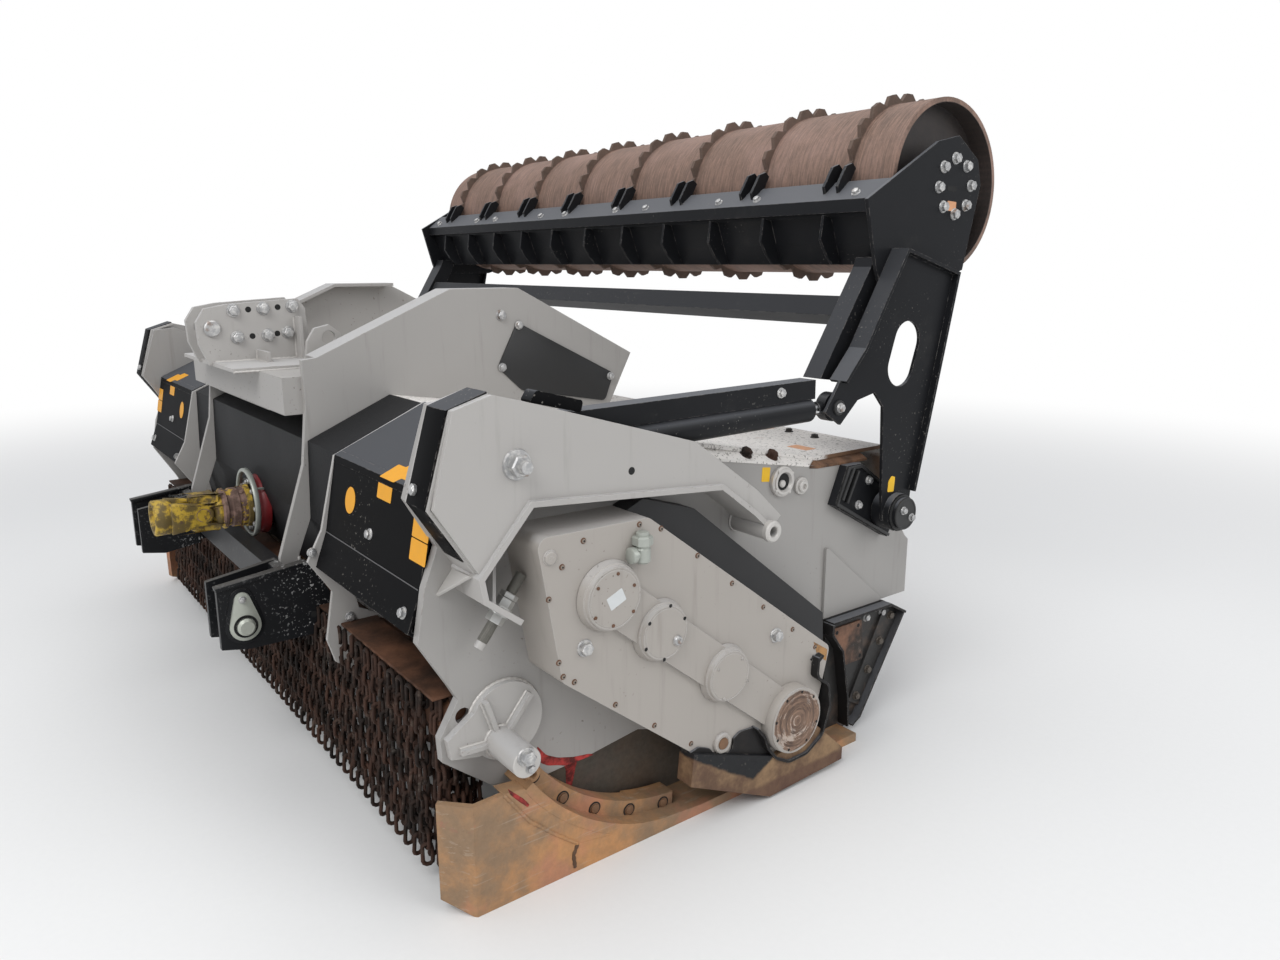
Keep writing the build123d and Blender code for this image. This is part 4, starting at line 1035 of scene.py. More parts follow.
def add_box(bm, x0, x1, y0, y1, z0, z1, bevel=1.2):
    """Bar with softened edges."""
    made = bmesh.ops.create_cube(bm, size=1.0)
    centre = at((x0 + x1) / 2, (y0 + y1) / 2, (z0 + z1) / 2)
    scale = at(abs(x1 - x0), abs(y1 - y0), abs(z1 - z0))
    for vert in made["verts"]:
        vert.co = Vector([vert.co[k] * scale[k] + centre[k] for k in range(3)])
    edges = list({edge for vert in made["verts"] for edge in vert.link_edges})
    bmesh.ops.bevel(bm, geom=edges, offset=bevel * MM, segments=2, affect="EDGES", profile=0.5)


def chain_tree():
    """Strands of welded links, each turned a quarter against the next and swung a little."""
    g = Growth(
        "chains",
        (
            ("Length", "NodeSocketFloat", 0.068),
            ("Width", "NodeSocketFloat", 0.037),
            ("Wire", "NodeSocketFloat", 0.011),
            ("Links", "NodeSocketInt", 10),
        ),
    )
    wire = g.take("Wire")
    bend = (g.take("Width") - wire) * 0.5
    straight = (g.take("Length") - g.take("Width")) * 0.5
    ring = g.node("GeometryNodeCurvePrimitiveCircle", {"mode": "RADIUS"}, {"Resolution": 10, "Radius": bend})
    place = g.node("GeometryNodeInputPosition")
    x = g.node("ShaderNodeSeparateXYZ", None, {0: place})
    y = x.other("Y")
    shift = y.math("SIGN") * straight
    upright = g.node("ShaderNodeCombineXYZ", None, {0: x, 2: y + shift})
    ring = g.node("GeometryNodeSetPosition", None, {"Geometry": ring, "Position": upright})
    profile = g.node(
        "GeometryNodeCurvePrimitiveCircle", {"mode": "RADIUS"}, {"Resolution": 5, "Radius": wire * 0.5}
    )
    link = g.node("GeometryNodeCurveToMesh", None, {"Curve": ring, "Profile Curve": profile})
    copies = g.node(
        "GeometryNodeDuplicateElements",
        {"domain": "POINT"},
        {"Geometry": g.take("Points"), "Amount": g.take("Links")},
    )
    step = copies.other("Duplicate Index")
    pitch = g.take("Length") - wire * 2.0
    drop = (step + 0.5) * pitch * -1.0
    index = g.node("GeometryNodeInputIndex")
    sway = g.node(
        "FunctionNodeRandomValue", {"data_type": "FLOAT"}, {2: -0.0016, 3: 0.0016, "ID": index, "Seed": 7}, output=1
    )
    offset = g.node("ShaderNodeCombineXYZ", None, {0: sway, 1: sway * -0.7, 2: drop})
    hung = g.node("GeometryNodeSetPosition", None, {"Geometry": copies, "Offset": offset})
    odd = step.math("MODULO", 2.0)
    lean = g.node(
        "FunctionNodeRandomValue", {"data_type": "FLOAT"}, {2: -0.10, 3: 0.10, "ID": index, "Seed": 3}, output=1
    )
    turn = g.node("ShaderNodeCombineXYZ", None, {0: lean * 0.6, 1: lean * 0.5, 2: odd * (math.pi / 2) + lean * 3.0})
    return g.finish(g.instance(hung, link, turn, (1.0, 1.0, 1.0)))


def facing_place(origin, direction):
    """Turns local Z to a direction and moves to a place in millimetres."""
    turn = Vector(direction).to_track_quat("Z", "Y").to_matrix().to_4x4()
    return Matrix.Translation(at(*origin)) @ turn


def face_place(origin, across, up):
    """Local X across and Y up on a face, local Z out of it."""
    across = Vector(across).normalized()
    up = Vector(up).normalized()
    place = Matrix((across, up, across.cross(up))).transposed().to_4x4()
    return Matrix.Translation(at(*origin)) @ place


def side_place(x, s):
    """Local X back, Y up and Z outward from a plane across the machine."""
    place = Matrix(((0.0, 0.0, s), (1.0, 0.0, 0.0), (0.0, 1.0, 0.0))).to_4x4()
    return Matrix.Translation(at(s * x, 0.0, 0.0)) @ place


def add_lathe(bm, profile, origin, direction, steps=40):
    """Round piece: (radius, height) pairs in millimetres turned about an axis."""
    place = facing_place(origin, direction)
    rings = []
    for radius, height in profile:
        count = steps if radius > 0.001 else 1
        ring = []
        for k in range(count):
            angle = 2 * math.pi * k / steps
            point = at(radius * math.cos(angle), radius * math.sin(angle), height)
            ring.append(bm.verts.new(place @ point))
        rings.append(ring)
    if tuple(profile[0]) == tuple(profile[-1]) and profile[0][0] > 0.001:
        rings[-1] = rings[0]
    for low, high in zip(rings, rings[1:]):
        for k in range(steps):
            corners = []
            for ring, i in ((low, k), (low, k + 1), (high, k + 1), (high, k)):
                vert = ring[i % len(ring)]
                if vert not in corners:
                    corners.append(vert)
            if len(corners) > 2:
                bm.faces.new(corners)


def add_slab(bm, outline, place, thickness, bevel=1.0, segments=2):
    """Plate of an outline on a local plane, its edges softened."""
    low = [bm.verts.new(place @ at(x, y, 0.0)) for x, y in outline]
    high = [bm.verts.new(place @ at(x, y, thickness)) for x, y in outline]
    faces = [bm.faces.new(low[::-1]), bm.faces.new(high)]
    for k in range(len(outline)):
        j = (k + 1) % len(outline)
        faces.append(bm.faces.new((low[k], low[j], high[j], high[k])))
    if bevel > 0:
        rims = list(faces[1].edges) + list(faces[0].edges)
        bmesh.ops.bevel(
            bm, geom=rims, offset=bevel * MM, segments=segments, affect="EDGES", profile=0.5
        )


def rounded(points, radius, steps=4):
    """Outline with rounded corners."""
    out = []
    count = len(points)
    for i in range(count):
        corner = Vector(points[i])
        before = (Vector(points[i - 1]) - corner)
        after = (Vector(points[(i + 1) % count]) - corner)
        reach = min(radius, 0.45 * before.length, 0.45 * after.length)
        start = corner + before.normalized() * reach
        end = corner + after.normalized() * reach
        for k in range(steps + 1):
            t = k / steps
            out.append(tuple((1 - t) ** 2 * start + 2 * t * (1 - t) * corner + t * t * end))
    return out


def teardrop(centre, radius, tip, tip_radius, steps=14):
    """Outline round two circles."""
    gap = Vector(tip) - Vector(centre)
    base = math.atan2(gap.y, gap.x)
    spread = math.acos((radius - tip_radius) / gap.length)
    out = []
    for k in range(steps + 1):
        angle = base + spread + (2 * math.pi - 2 * spread) * k / steps
        out.append((centre[0] + radius * math.cos(angle), centre[1] + radius * math.sin(angle)))
    for k in range(steps + 1):
        angle = base - spread + 2 * spread * k / steps
        out.append(
            (tip[0] + tip_radius * math.cos(angle), tip[1] + tip_radius * math.sin(angle))
        )
    return out


def circle(centre, radius, steps=28, squeeze=1.0):
    out = []
    for k in range(steps):
        angle = 2 * math.pi * k / steps
        out.append(
            (centre[0] + squeeze * radius * math.cos(angle), centre[1] + radius * math.sin(angle))
        )
    return out


def ribbon(points, thickness):
    """Outline of a bent strip: the points and their offset to the left."""
    shifted = []
    count = len(points)
    for i in range(count):
        a = Vector(points[max(i - 1, 0)])
        b = Vector(points[min(i + 1, count - 1)])
        normal = Vector((-(b - a).y, (b - a).x)).normalized()
        shifted.append(tuple(Vector(points[i]) + normal * thickness))
    return list(points) + shifted[::-1]


def add_tube(bm, points, radius, sides=10):
    """Round rod along points in millimetres, closed at both ends; one radius or one for each."""
    path = [at(*p) for p in points]
    radii = radius if isinstance(radius, list) else [radius] * len(path)
    rings = []
    normal = None
    for i, point in enumerate(path):
        ahead = path[min(i + 1, len(path) - 1)]
        behind = path[max(i - 1, 0)]
        tangent = (ahead - behind).normalized()
        if normal is None:
            normal = tangent.orthogonal().normalized()
        normal = (normal - tangent * normal.dot(tangent)).normalized()
        side = tangent.cross(normal)
        ring = []
        for k in range(sides):
            angle = 2 * math.pi * k / sides
            offset = normal * math.cos(angle) + side * math.sin(angle)
            ring.append(bm.verts.new(point + offset * radii[i] * MM))
        rings.append(ring)
    for low, high in zip(rings, rings[1:]):
        for k in range(sides):
            j = (k + 1) % sides
            bm.faces.new((low[k], low[j], high[j], high[k]))
    bm.faces.new(rings[0][::-1])
    bm.faces.new(rings[-1])


def add_bead(bm, points, radius):
    """Rippled weld bead along points in millimetres."""
    path = []
    for a, b in zip(points, points[1:]):
        start = Vector(a)
        gap = Vector(b) - start
        steps = max(2, round(gap.length / 4.0))
        path += [tuple(start + gap * k / steps) for k in range(steps)]
    path.append(points[-1])
    ripple = (0.86, 1.0, 1.12, 1.0)
    add_tube(bm, path, [radius * ripple[k % 4] for k in range(len(path))], 6)


def both_sides(name, maker, finish, body="frame", smooth=35.0):
    """One piece made on the left and on the right."""
    bm = bmesh.new()
    for side, s in SIDES:
        maker(bm, s)
    return piece(name, finished_mesh(name, bm, smooth), bpy.data.materials[finish], body)


def single(name, maker, finish, body="frame", smooth=35.0):
    """One piece made once."""
    bm = bmesh.new()
    maker(bm)
    return piece(name, finished_mesh(name, bm, smooth), bpy.data.materials[finish], body)


# Gear case covers: share of the way from the first shaft to the rotor, radius, height
COVERS = ((0.0, 77.0, 30.0), (0.245, 70.0, 30.0), (0.595, 70.0, 30.0))
CASE_X = 1600.0


def cover_centre(share):
    return tuple(SWING[k] + share * (ROTOR[k] - SWING[k]) for k in range(2))


class MULCHER_OT_gear_case(bpy.types.Operator):
    """Covers, filler elbow, boss and guard band of the gear cases"""

    bl_idname = "mulcher.gear_case"
    bl_label = "Gear case trim"

    def execute(self, context):
        def covers(bm, s):
            for share, r, h in COVERS:
                y, z = cover_centre(share)
                profile = [
                    (0.0, 1.0),
                    (r + 11.0, 1.0),
                    (r + 11.0, 5.0),
                    (r + 5.0, 14.0),
                    (r + 5.0, 19.0),
                    (r + 2.0, 20.5),
                    (r + 1.0, h - 4.0),
                    (r - 2.0, h + 0.9),
                    (r - 4.0, h + 0.9),
                    (r - 5.0, h - 0.6),
                    (r - 7.0, h - 0.6),
                    (r - 8.0, h + 0.9),
                    (0.0, h + 0.9),
                ]
                add_lathe(bm, profile, (s * CASE_X, y, z), (s, 0, 0), 56)

        def rotor_cover(bm, s):
            r = 97.0
            h = 42.0
            profile = [(0.0, 1.0), (r + 3.0, 1.0), (r + 3.0, 22.0), (r + 1.0, h - 6.0)]
            profile += [(r - 3.0, h + 0.7), (r - 17.0, h + 0.7), (r - 19.0, h + 0.3)]
            profile += [(r - 25.0, h + 0.3), (r - 28.0, h + 0.9), (r - 48.0, h + 0.9)]
            profile += [(r - 52.0, h + 0.4), (r - 60.0, h + 0.4), (r - 64.0, h + 1.0)]
            profile += [(r - 80.0, h + 0.8), (0.0, h + 0.9)]
            add_lathe(bm, profile, (s * CASE_X, ROTOR[0], ROTOR[1]), (s, 0, 0), 60)

        def elbow(bm, s):
            x = s * 1615.0
            add_lathe(
                bm,
                [(0, 0), (24, 0), (24, 7), (17, 10), (17, 16), (0, 16)],
                (s * CASE_X, -421.0, 826.0),
                (s, 0, 0),
                24,
            )
            add_lathe(
                bm,
                [(0, 0), (15, 0), (20, 5), (20, 36), (17, 40), (17, 50), (0, 50)],
                (x, -421.0, 806.0),
                (0, 0, 1),
                24,
            )
            add_lathe(bm, [(0, 0), (24, 0), (26, 2), (26, 20), (22, 24), (0, 24)], (x, -421, 850), (0, 0, 1), 6)
            add_lathe(bm, [(0, 0), (16, 0), (16, 8), (12, 10), (0, 10)], (x, -421, 874), (0, 0, 1), 18)
            add_lathe(bm, [(0, 0), (13, 0), (13, 24), (20, 25), (20, 37), (17, 39), (0, 39)], (x, -421, 828), (0, -1, 0.05), 20)

        def boss(bm, s):
            profile = [(0, 0), (30, 0), (30, 44), (27, 48), (20, 48), (19, 46), (0, 46)]
            add_lathe(bm, profile, (s * 1562.0, -138.0, 232.0), (s, 0, 0), 32)

        def boss_bolt(bm, s):
            add_lathe(bm, [(0, 0), (17, 0), (16, 3), (0, 4)], (s * 1608.2, -138, 232), (s, 0, 0), 20)

        def band(bm, s):
            line = [(215, 392), (211, 330), (262, 292), (272, 220), (243, 140), (182, 104), (108, 102), (58, 130)]
            line += [(24, 172), (8, 214), (-20, 246)]
            outline = rounded(ribbon(line, 8.0), 10.0, 3)
            add_slab(bm, outline, side_place(1552.0, s), 74.0, 1.2)
            add_slab(bm, rounded([(205, 382), (240, 396), (268, 376), (236, 352)], 4.0), side_place(1556.0, s), 46.0)

        def cover_plug(bm, s):
            profile = [(0, 0), (14, 0), (14, 3), (11, 8), (7, 9), (5.5, 6), (0, 5.5)]
            add_lathe(bm, profile, (s * 1630.8, -324.0, 588.0), (s, 0, 0), 24)

        def label(bm, s):
            turn = math.radians(24.0)
            outline = []
            for u, v in ((-24, -17), (24, -17), (24, 17), (-24, 17)):
                outline.append(
                    (
                        SWING[0] + u * math.cos(turn) - v * math.sin(turn) + 4,
                        SWING[1] + u * math.sin(turn) + v * math.cos(turn) - 2,
                    )
                )
            add_slab(bm, rounded(outline, 3.0), side_place(1630.9, s), 0.5, 0.0)

        both_sides("case_covers", covers, "gear_case_paint")
        both_sides("rotor_covers", rotor_cover, "ring_worn")
        both_sides("filler_elbows", elbow, "fitting_zinc")
        both_sides("case_bosses", boss, "gear_case_paint")
        both_sides("case_boss_bolts", boss_bolt, "rusty_bolts")
        both_sides("case_bands", band, "worn_black")
        both_sides("case_labels", label, "label_white")
        both_sides("cover_plugs", cover_plug, "zinc_bolts")
        return {"FINISHED"}


class MULCHER_OT_drive_shaft(bpy.types.Operator):
    """Yokes, cross, clutch, guard ring and bell on the drive line"""

    bl_idname = "mulcher.drive_shaft"
    bl_label = "Drive shaft"

    def execute(self, context):
        front = (0, -1, 0)

        def turned(bm, profile, y, steps=48, z=SHAFT_Z):
            add_lathe(bm, profile, (0.0, y, z), front, steps)

        def fork(bm, direction, reach_from):
            """Pair of fork arms on both sides of the axis."""
            for t in (1.0, -1.0):
                out = Vector(direction) * t
                across = Vector(front).cross(out)
                place = Matrix((Vector(front), across, out)).transposed().to_4x4()
                place = Matrix.Translation(at(0.0, 0.0, SHAFT_Z) + out * 0.034) @ place
                if reach_from < 1052.0:
                    outline = circle((1052.0, 0.0), 34.0, 20)
                    outline = [p for p in outline if p[0] > 1040.0]
                    outline.sort(key=lambda p: p[1])
                    outline = [(reach_from, -50.0), (1010.0, -44.0)] + outline
                    outline += [(1010.0, 44.0), (reach_from, 50.0)]
                else:
                    outline = [p for p in circle((1052.0, 0.0), 34.0, 20) if p[0] < 1064.0]
                    outline.sort(key=lambda p: -p[1])
                    outline = [(reach_from, 52.0), (1110.0, 46.0)] + outline
                    outline += [(1110.0, -46.0), (reach_from, -52.0)]
                add_slab(bm, outline, place, 27.0, 7.0, 3)

        def caps(bm, direction):
            for t in (1.0, -1.0):
                out = Vector(direction) * t
                origin = (out.x * 56.0, -1052.0, SHAFT_Z + out.z * 56.0)
                profile = [(0, 0), (23, 0), (23, 5), (20.5, 5.2), (20, 3.6), (16, 3.2), (0, 3.6)]
                add_lathe(bm, profile, origin, out, 24)

        def inner_yoke(bm):
            turned(bm, [(0, 0), (56, 0), (60, 4), (60, 16), (52, 28), (40, 32), (0, 32)], -984.0)
            fork(bm, (0, 0, 1), 1000.0)
            turned(bm, [(66, 0), (73, 2), (73, 16), (66, 18), (60, 18), (60, 0), (66, 0)], -893.0)

        def outer_yoke(bm):
            fork(bm, (1, 0, 0), 1150.0)
            profile = [(0, 0), (40, 0), (52, 6), (59, 16), (59, 58), (55, 62), (44, 62)]
            profile += [(41, 58), (41, 30), (0, 30)]
            turned(bm, profile, -1134.0)

        def cross(bm):
            for direction in ((1, 0, 0), (0, 0, 1)):
                d = Vector(direction)
                origin = (-d.x * 57.0, -1052.0, SHAFT_Z - d.z * 57.0)
                profile = [(0, 0), (17, 0), (17, 22), (21, 34), (24, 57), (21, 80), (17, 92), (17, 114), (0, 114)]
                add_lathe(bm, profile, origin, direction, 24)
            for direction in ((1, 0, 0), (0, 0, 1)):
                caps(bm, direction)

        def clutch(bm):
            profile = [(0, 0), (60, 0), (66, 5), (66, 22), (61, 25), (61, 31), (67, 34), (67, 56)]
            profile += [(62, 60), (62, 70), (69, 74), (69, 84), (60, 90), (0, 90)]
            turned(bm, profile, -900.0)
            for k in range(8):
                angle = 2 * math.pi * (k + 0.3) / 8
                origin = (66 * math.cos(angle), -922.0, SHAFT_Z + 66 * math.sin(angle))
                direction = (math.cos(angle), 0, math.sin(angle))
                add_lathe(bm, [(0, 0), (8, 0), (8, 2), (6, 3), (0, 3)], origin, direction, 10)

        def splines(bm):
            turned(bm, [(0, 0), (29, 0), (29, 74), (0, 74)], -830.0, 24)

        def guard_ring(bm):
            ring = [(109, 0), (118, 0), (120, 3), (120, 13), (118, 16), (109, 16), (107, 13), (107, 3), (109, 0)]
            turned(bm, ring, -886.0, 64, SHAFT_Z + 8.0)
            for angle in (35.0, 145.0, 270.0):
                turn = math.radians(angle)
                y_far = -848.0
                points = []
                for r, y in ((113.0, -890.0), (110.0, -870.0), (98.0, y_far)):
                    points.append((r * math.cos(turn), y, SHAFT_Z + 8.0 + r * math.sin(turn)))
                add_tube(bm, points, 4.0, 8)

        def bell(bm):
            turned(bm, [(80, 0), (104, 0), (104, 12), (100, 26), (90, 36), (84, 36), (84, 30), (80, 30), (80, 0)], -846.0)

        def bell_flange(bm):
            turned(bm, [(60, 0), (92, 0), (94, 2), (94, 10), (92, 12), (60, 12), (60, 0)], -878.0)

        single("inner_yoke", inner_yoke, "drive_yellow", "input_shaft", 50.0)
        outer = single("outer_yoke", outer_yoke, "drive_yellow", "input_shaft", 50.0)
        single("shaft_cross", cross, "clutch_brown", "input_shaft")
        single("shaft_clutch", clutch, "clutch_brown", "input_shaft")
        single("shaft_splines", splines, "dark_steel", "input_shaft")
        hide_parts("input_shaft")
        single("shaft_guard_ring", guard_ring, "fitting_zinc")
        single("shaft_bell", bell, "bell_red")
        single("shaft_flange", bell_flange, "dark_steel")
        rows = []
        for k in range(8):
            angle = 2 * math.pi * k / 8
            rows.append((at(80 * math.cos(angle), -890.0, SHAFT_Z + 80 * math.sin(angle)), front, 1.0))
        material = bpy.data.materials["zinc_bolts"]
        add_fasteners("bell_bolts", "small", rows, material, "frame")
        return {"FINISHED"}


class MULCHER_OT_hitch(bpy.types.Operator):
    """Pin retainers, access plates and tower trim"""

    bl_idname = "mulcher.hitch"
    bl_label = "Hitch trim"

    def execute(self, context):
        pin = (-1095.0, 500.0)
        tip = (-1098.0, 580.0)

        def retainer(bm, s):
            add_slab(bm, teardrop(pin, 43.0, tip, 21.0), side_place(643.0, s), 8.0, 1.5)

        def pin_heads(bm, s):
            profile = [(0, 0), (25, 0), (25, 9), (22, 12), (22, 13), (19, 17), (0, 17)]
            add_lathe(bm, profile, (s * 651.0, pin[0], pin[1]), (s, 0, 0), 32)

        def backing(bm, s):
            add_slab(bm, teardrop(pin, 54.0, tip, 32.0), side_place(639.5, s), 4.0, 1.0)
            line = [(-1163, 612), (-910, 645), (-908, 655), (-1165, 624)]
            add_slab(bm, rounded(line, 2.0, 2), side_place(612.0, s), 34.0, 2.0)

        def access_plate(bm, s):
            outline = [(-135, 1312), (-213, 1167), (-121, 1082), (220, 1019), (258, 1116)]
            add_slab(bm, rounded(outline, 16.0), side_place(560.2, s), 5.0, 1.0)

        def top_pin(bm):
            add_lathe(bm, [(0, 0), (26, 0), (26, 8), (22, 12), (0, 12)], (80.0, -972.0, 1299.0), (1, 0, 0), 28)
            add_lathe(bm, [(0, 0), (22, 0), (22, 160), (0, 160)], (-80.0, -972.0, 1299.0), (1, 0, 0), 28)
            add_lathe(bm, [(0, 0), (26, 0), (26, 8), (22, 12), (0, 12)], (-80.0, -972.0, 1299.0), (-1, 0, 0), 28)

        def pin_rings(bm, s):
            add_lathe(bm, [(26, 0), (33, 0), (33, 1.2), (26, 1.2), (26, 0)], (s * 651.0, pin[0], pin[1]), (s, 0, 0), 32)

        both_sides("pin_rings", pin_rings, "deep_shadow")
        both_sides("pin_retainers", retainer, "pale_zinc")
        both_sides("pin_heads", pin_heads, "pale_zinc")
        both_sides("clevis_backing", backing, "speckled_black")
        both_sides("access_plates", access_plate, "black_paint")
        single("top_link_pin", top_pin, "zinc_bolts")
        zinc = bpy.data.materials["zinc_bolts"]
        places = ((651.0, tip, "small"), (640.0, (-900.0, 487.0), "hole"))
        for x, (y, z), kind in places:
            rows = [(at(s * x, y, z), (s, 0, 0), 1.0) for side, s in SIDES]
            material = zinc if kind == "small" else bpy.data.materials["deep_shadow"]
            add_fasteners("clevis_" + kind, kind, rows, material, "frame")
        rows = []
        for side, s in SIDES:
            for y, z in ((-129, 1302), (-197, 1166), (244, 1106)):
                rows.append((at(s * 565.2, y, z), (s, 0, 0), 1.0))
        add_fasteners("access_bolts", "medium", rows, zinc, "frame")
        return {"FINISHED"}


# Blank stickers on the front covers: place across, height, width, length
COVER_STICKERS = ((1173.0, 966.0, 84.0, 52.0), (1393.0, 867.0, 84.0, 51.0), (1393.0, 920.0, 84.0, 51.0))
DECK_Z = 930.0
# Gusset under each guard: distance back and height of its top, its foot and its outer corner
GUSSET_TOP = (-829.0, 826.0)
GUSSET_LOW = (-872.0, 773.0)
GUSSET_OUT = (-840.0, 840.0)
GUSSET_WIDE = 105.0
# Strip between the hood's edge and the side plate: distance back and height of both its edges
DECK_EDGE = (
    (-330.0, 1067.0, -330.0, 1047.0),
    (-65.0, 1025.2, -65.0, 985.5),
    (250.0, 959.5, 220.0, 935.5),
    (392.0, 930.2, 310.0, 919.7),
    (424.0, 930.2, 335.0, 915.3),
)
# Rusty skirt behind it
DECK_SKIRT = (
    (424.0, 926.0, 335.0, 911.0),
    (430.0, 926.0, 371.0, 906.0),
    (507.0, 926.0, 507.0, 903.0),
    (600.0, 926.0, 600.0, 902.0),
)


def cover_place(x, z, s):
    """Plane on the front cover's main face at a height."""
    y = -905.4 + (z - 785.0) * 0.195
    return face_place((s * x, y, z), (1, 0, 0), (0, 0.191, 0.982))


def slope_place(x, y, s):
    """Plane on the front cover's upper slope."""
    z = 1042.4 + (y + 760.0) * 0.4446
    return face_place((s * x, y, z), (1, 0, 0), (0, 0.914, 0.406))


def block(width, length, corner=4.0):
    """Rectangle round the local origin."""
    w = width / 2
    h = length / 2
    return rounded([(-w, -h), (w, -h), (w, h), (-w, h)], corner)


class MULCHER_OT_covers(bpy.types.Operator):
    """Blank stickers, bolts and the black strip of the front covers and guards"""

    bl_idname = "mulcher.covers"
    bl_label = "Cover trim"

    def execute(self, context):
        def stickers(bm, s):
            add_slab(bm, circle((0.0, 0.0), 35.0, 32, 0.95), cover_place(966.0, 900.0, s), 0.6, 0.0)
            for x, z, width, length in COVER_STICKERS:
                add_slab(bm, block(width, length), cover_place(x, z, s), 0.6, 0.0)
            outline = [(-74, -34), (10, -34), (16, -14), (60, -14), (60, 40), (-26, 40), (-32, 22), (-74, 22)]
            add_slab(bm, rounded(outline, 4.0), slope_place(1216.0, -838.0, s), 0.6, 0.0)

        def deck_stickers(bm, s):
            place = face_place((s * 944.0, 634.0, DECK_Z), (0, 1, 0), (-1, 0, 0))
            add_slab(bm, block(46.0, 96.0), place, 0.6, 0.0)
            place = face_place((s * 1298.0, 464.0, DECK_Z), (0, 1, 0), (-1, 0, 0))
            add_slab(bm, block(46.0, 84.0), place, 0.6, 0.0)

        def side_sticker(bm, s):
            add_slab(bm, rounded([(136, 893), (168, 889), (171, 931), (139, 935)], 3.0), side_place(1450.0, s), 0.6, 0.0)

        def strip(bm, s):
            line = [(-856.0, 880.0), (-938.2, 1006.5), (-880.0, 1206.0), (-786.3, 1235.9)]
            add_slab(bm, ribbon(line, 4.0), side_place(1464.0, s), 90.0, 1.0)

        def sloping_strip(bm, s, rows):
            rings = []
            for y_top, top, y_low, low in rows:
                corners = ((1398, y_top, top + 1.5), (1452, y_low, low + 2.5), (1452, y_low, low - 5))
                corners += ((1440, y_low, low - 5), (1392, y_top, top - 8))
                rings.append([bm.verts.new(at(s * x, y, z)) for x, y, z in corners])
            for a, b in zip(rings, rings[1:]):
                for k in range(5):
                    j = (k + 1) % 5
                    bm.faces.new((a[k], a[j], b[j], b[k]))
            bm.faces.new(rings[0])
            bm.faces.new(rings[-1][::-1])

        def deck_edge(bm, s):
            sloping_strip(bm, s, DECK_EDGE)

        def deck_skirt(bm, s):
            sloping_strip(bm, s, DECK_SKIRT)

        def crease(bm, s):
            line = [(-868.6, 978), (-864.8, 996.3), (-845, 1004.8), (-845, 984)]
            add_slab(bm, line, side_place(820.5, s), 596.0, 0.0)

        def fold_line(bm, s):
            # Painted highlight: a thin pale grey line along the fold of the front cover
            add_slab(bm, block(596.0, 2.6, 0.6), cover_place(1118.0, 786.0, s), 0.5, 0.0)

        def gusset(bm, s):
            inner = Vector((0.0, GUSSET_LOW[0] - GUSSET_TOP[0], GUSSET_LOW[1] - GUSSET_TOP[1]))
            across = Vector((s * GUSSET_WIDE, GUSSET_OUT[0] - GUSSET_TOP[0], GUSSET_OUT[1] - GUSSET_TOP[1]))
            reach = across.dot(inner.normalized())
            outline = [(0.0, 0.0), (inner.length, 0.0), (reach, (across - inner.normalized() * reach).length)]
            place = face_place((s * 1450.0, *GUSSET_TOP), inner.normalized(), across - inner.normalized() * reach)
            add_slab(bm, outline, place, 9.0, 1.2)

        def cap(bm, s):
            line = [(-681, 1206), (-664, 1232), (-540, 1199), (-546, 1171)]
            add_slab(bm, rounded(line, 6.0), side_place(1506.0, s), 42.0, 2.0)

        both_sides("deck_edges", deck_edge, "hood_paint", smooth=20.0)
        both_sides("deck_skirts", deck_skirt, "deck_rust", smooth=20.0)
        both_sides("cover_stickers", stickers, "sticker_orange")
        both_sides("deck_stickers", deck_stickers, "sticker_faded")
        both_sides("side_stickers", side_sticker, "sticker_yellow")
        both_sides("guard_strips", strip, "cover_black")
        both_sides("cover_creases", crease, "cover_black")
        both_sides("guard_caps", cap, "cover_black")
        both_sides("cover_folds", fold_line, "fold_worn")
        both_sides("guard_gussets", gusset, "frame_paint")
        zinc = bpy.data.materials["zinc_bolts"]
        rows = []
        deck_rows = []
        slope_rows = []
        for side, s in SIDES:
            main = (0.0, -0.982, 0.191)
            rows.append((at(s * 1116, -893.4, 845), main, 1.0))
            rows.append((at(s * 1378, -927.2, 725), (0.0, -0.938, 0.346), 1.0))
            rows.append((at(s * 820, -856, 525), (s, 0, 0), 1.0))
            rows.append((at(s * 1492, -929, 1036), (0.0, -0.958, 0.288), 1.15))
            rows.append((at(s * 820, -948, 733), (s, 0, 0), 0.9))
            for x, y in ((1075, 643), (1205, 630)):
                deck_rows.append((at(s * x, y, DECK_Z), (0, 0, 1), 1.0))
            for y in (91, 196):
                z = 976.5 - (y - 91) * 0.192
                slope_rows.append((at(s * 1427, y, z), (s * 0.54, 0.16, 0.82), 1.0))
        add_fasteners("cover_bolts", "medium", rows, zinc, "frame")
        add_fasteners("deck_bolts", "medium", deck_rows, bpy.data.materials["dark_steel"], "frame")
        rusty = bpy.data.materials["chain_rust"]
        add_fasteners("deck_slope_bolts", "big", slope_rows, rusty, "frame")
        return {"FINISHED"}


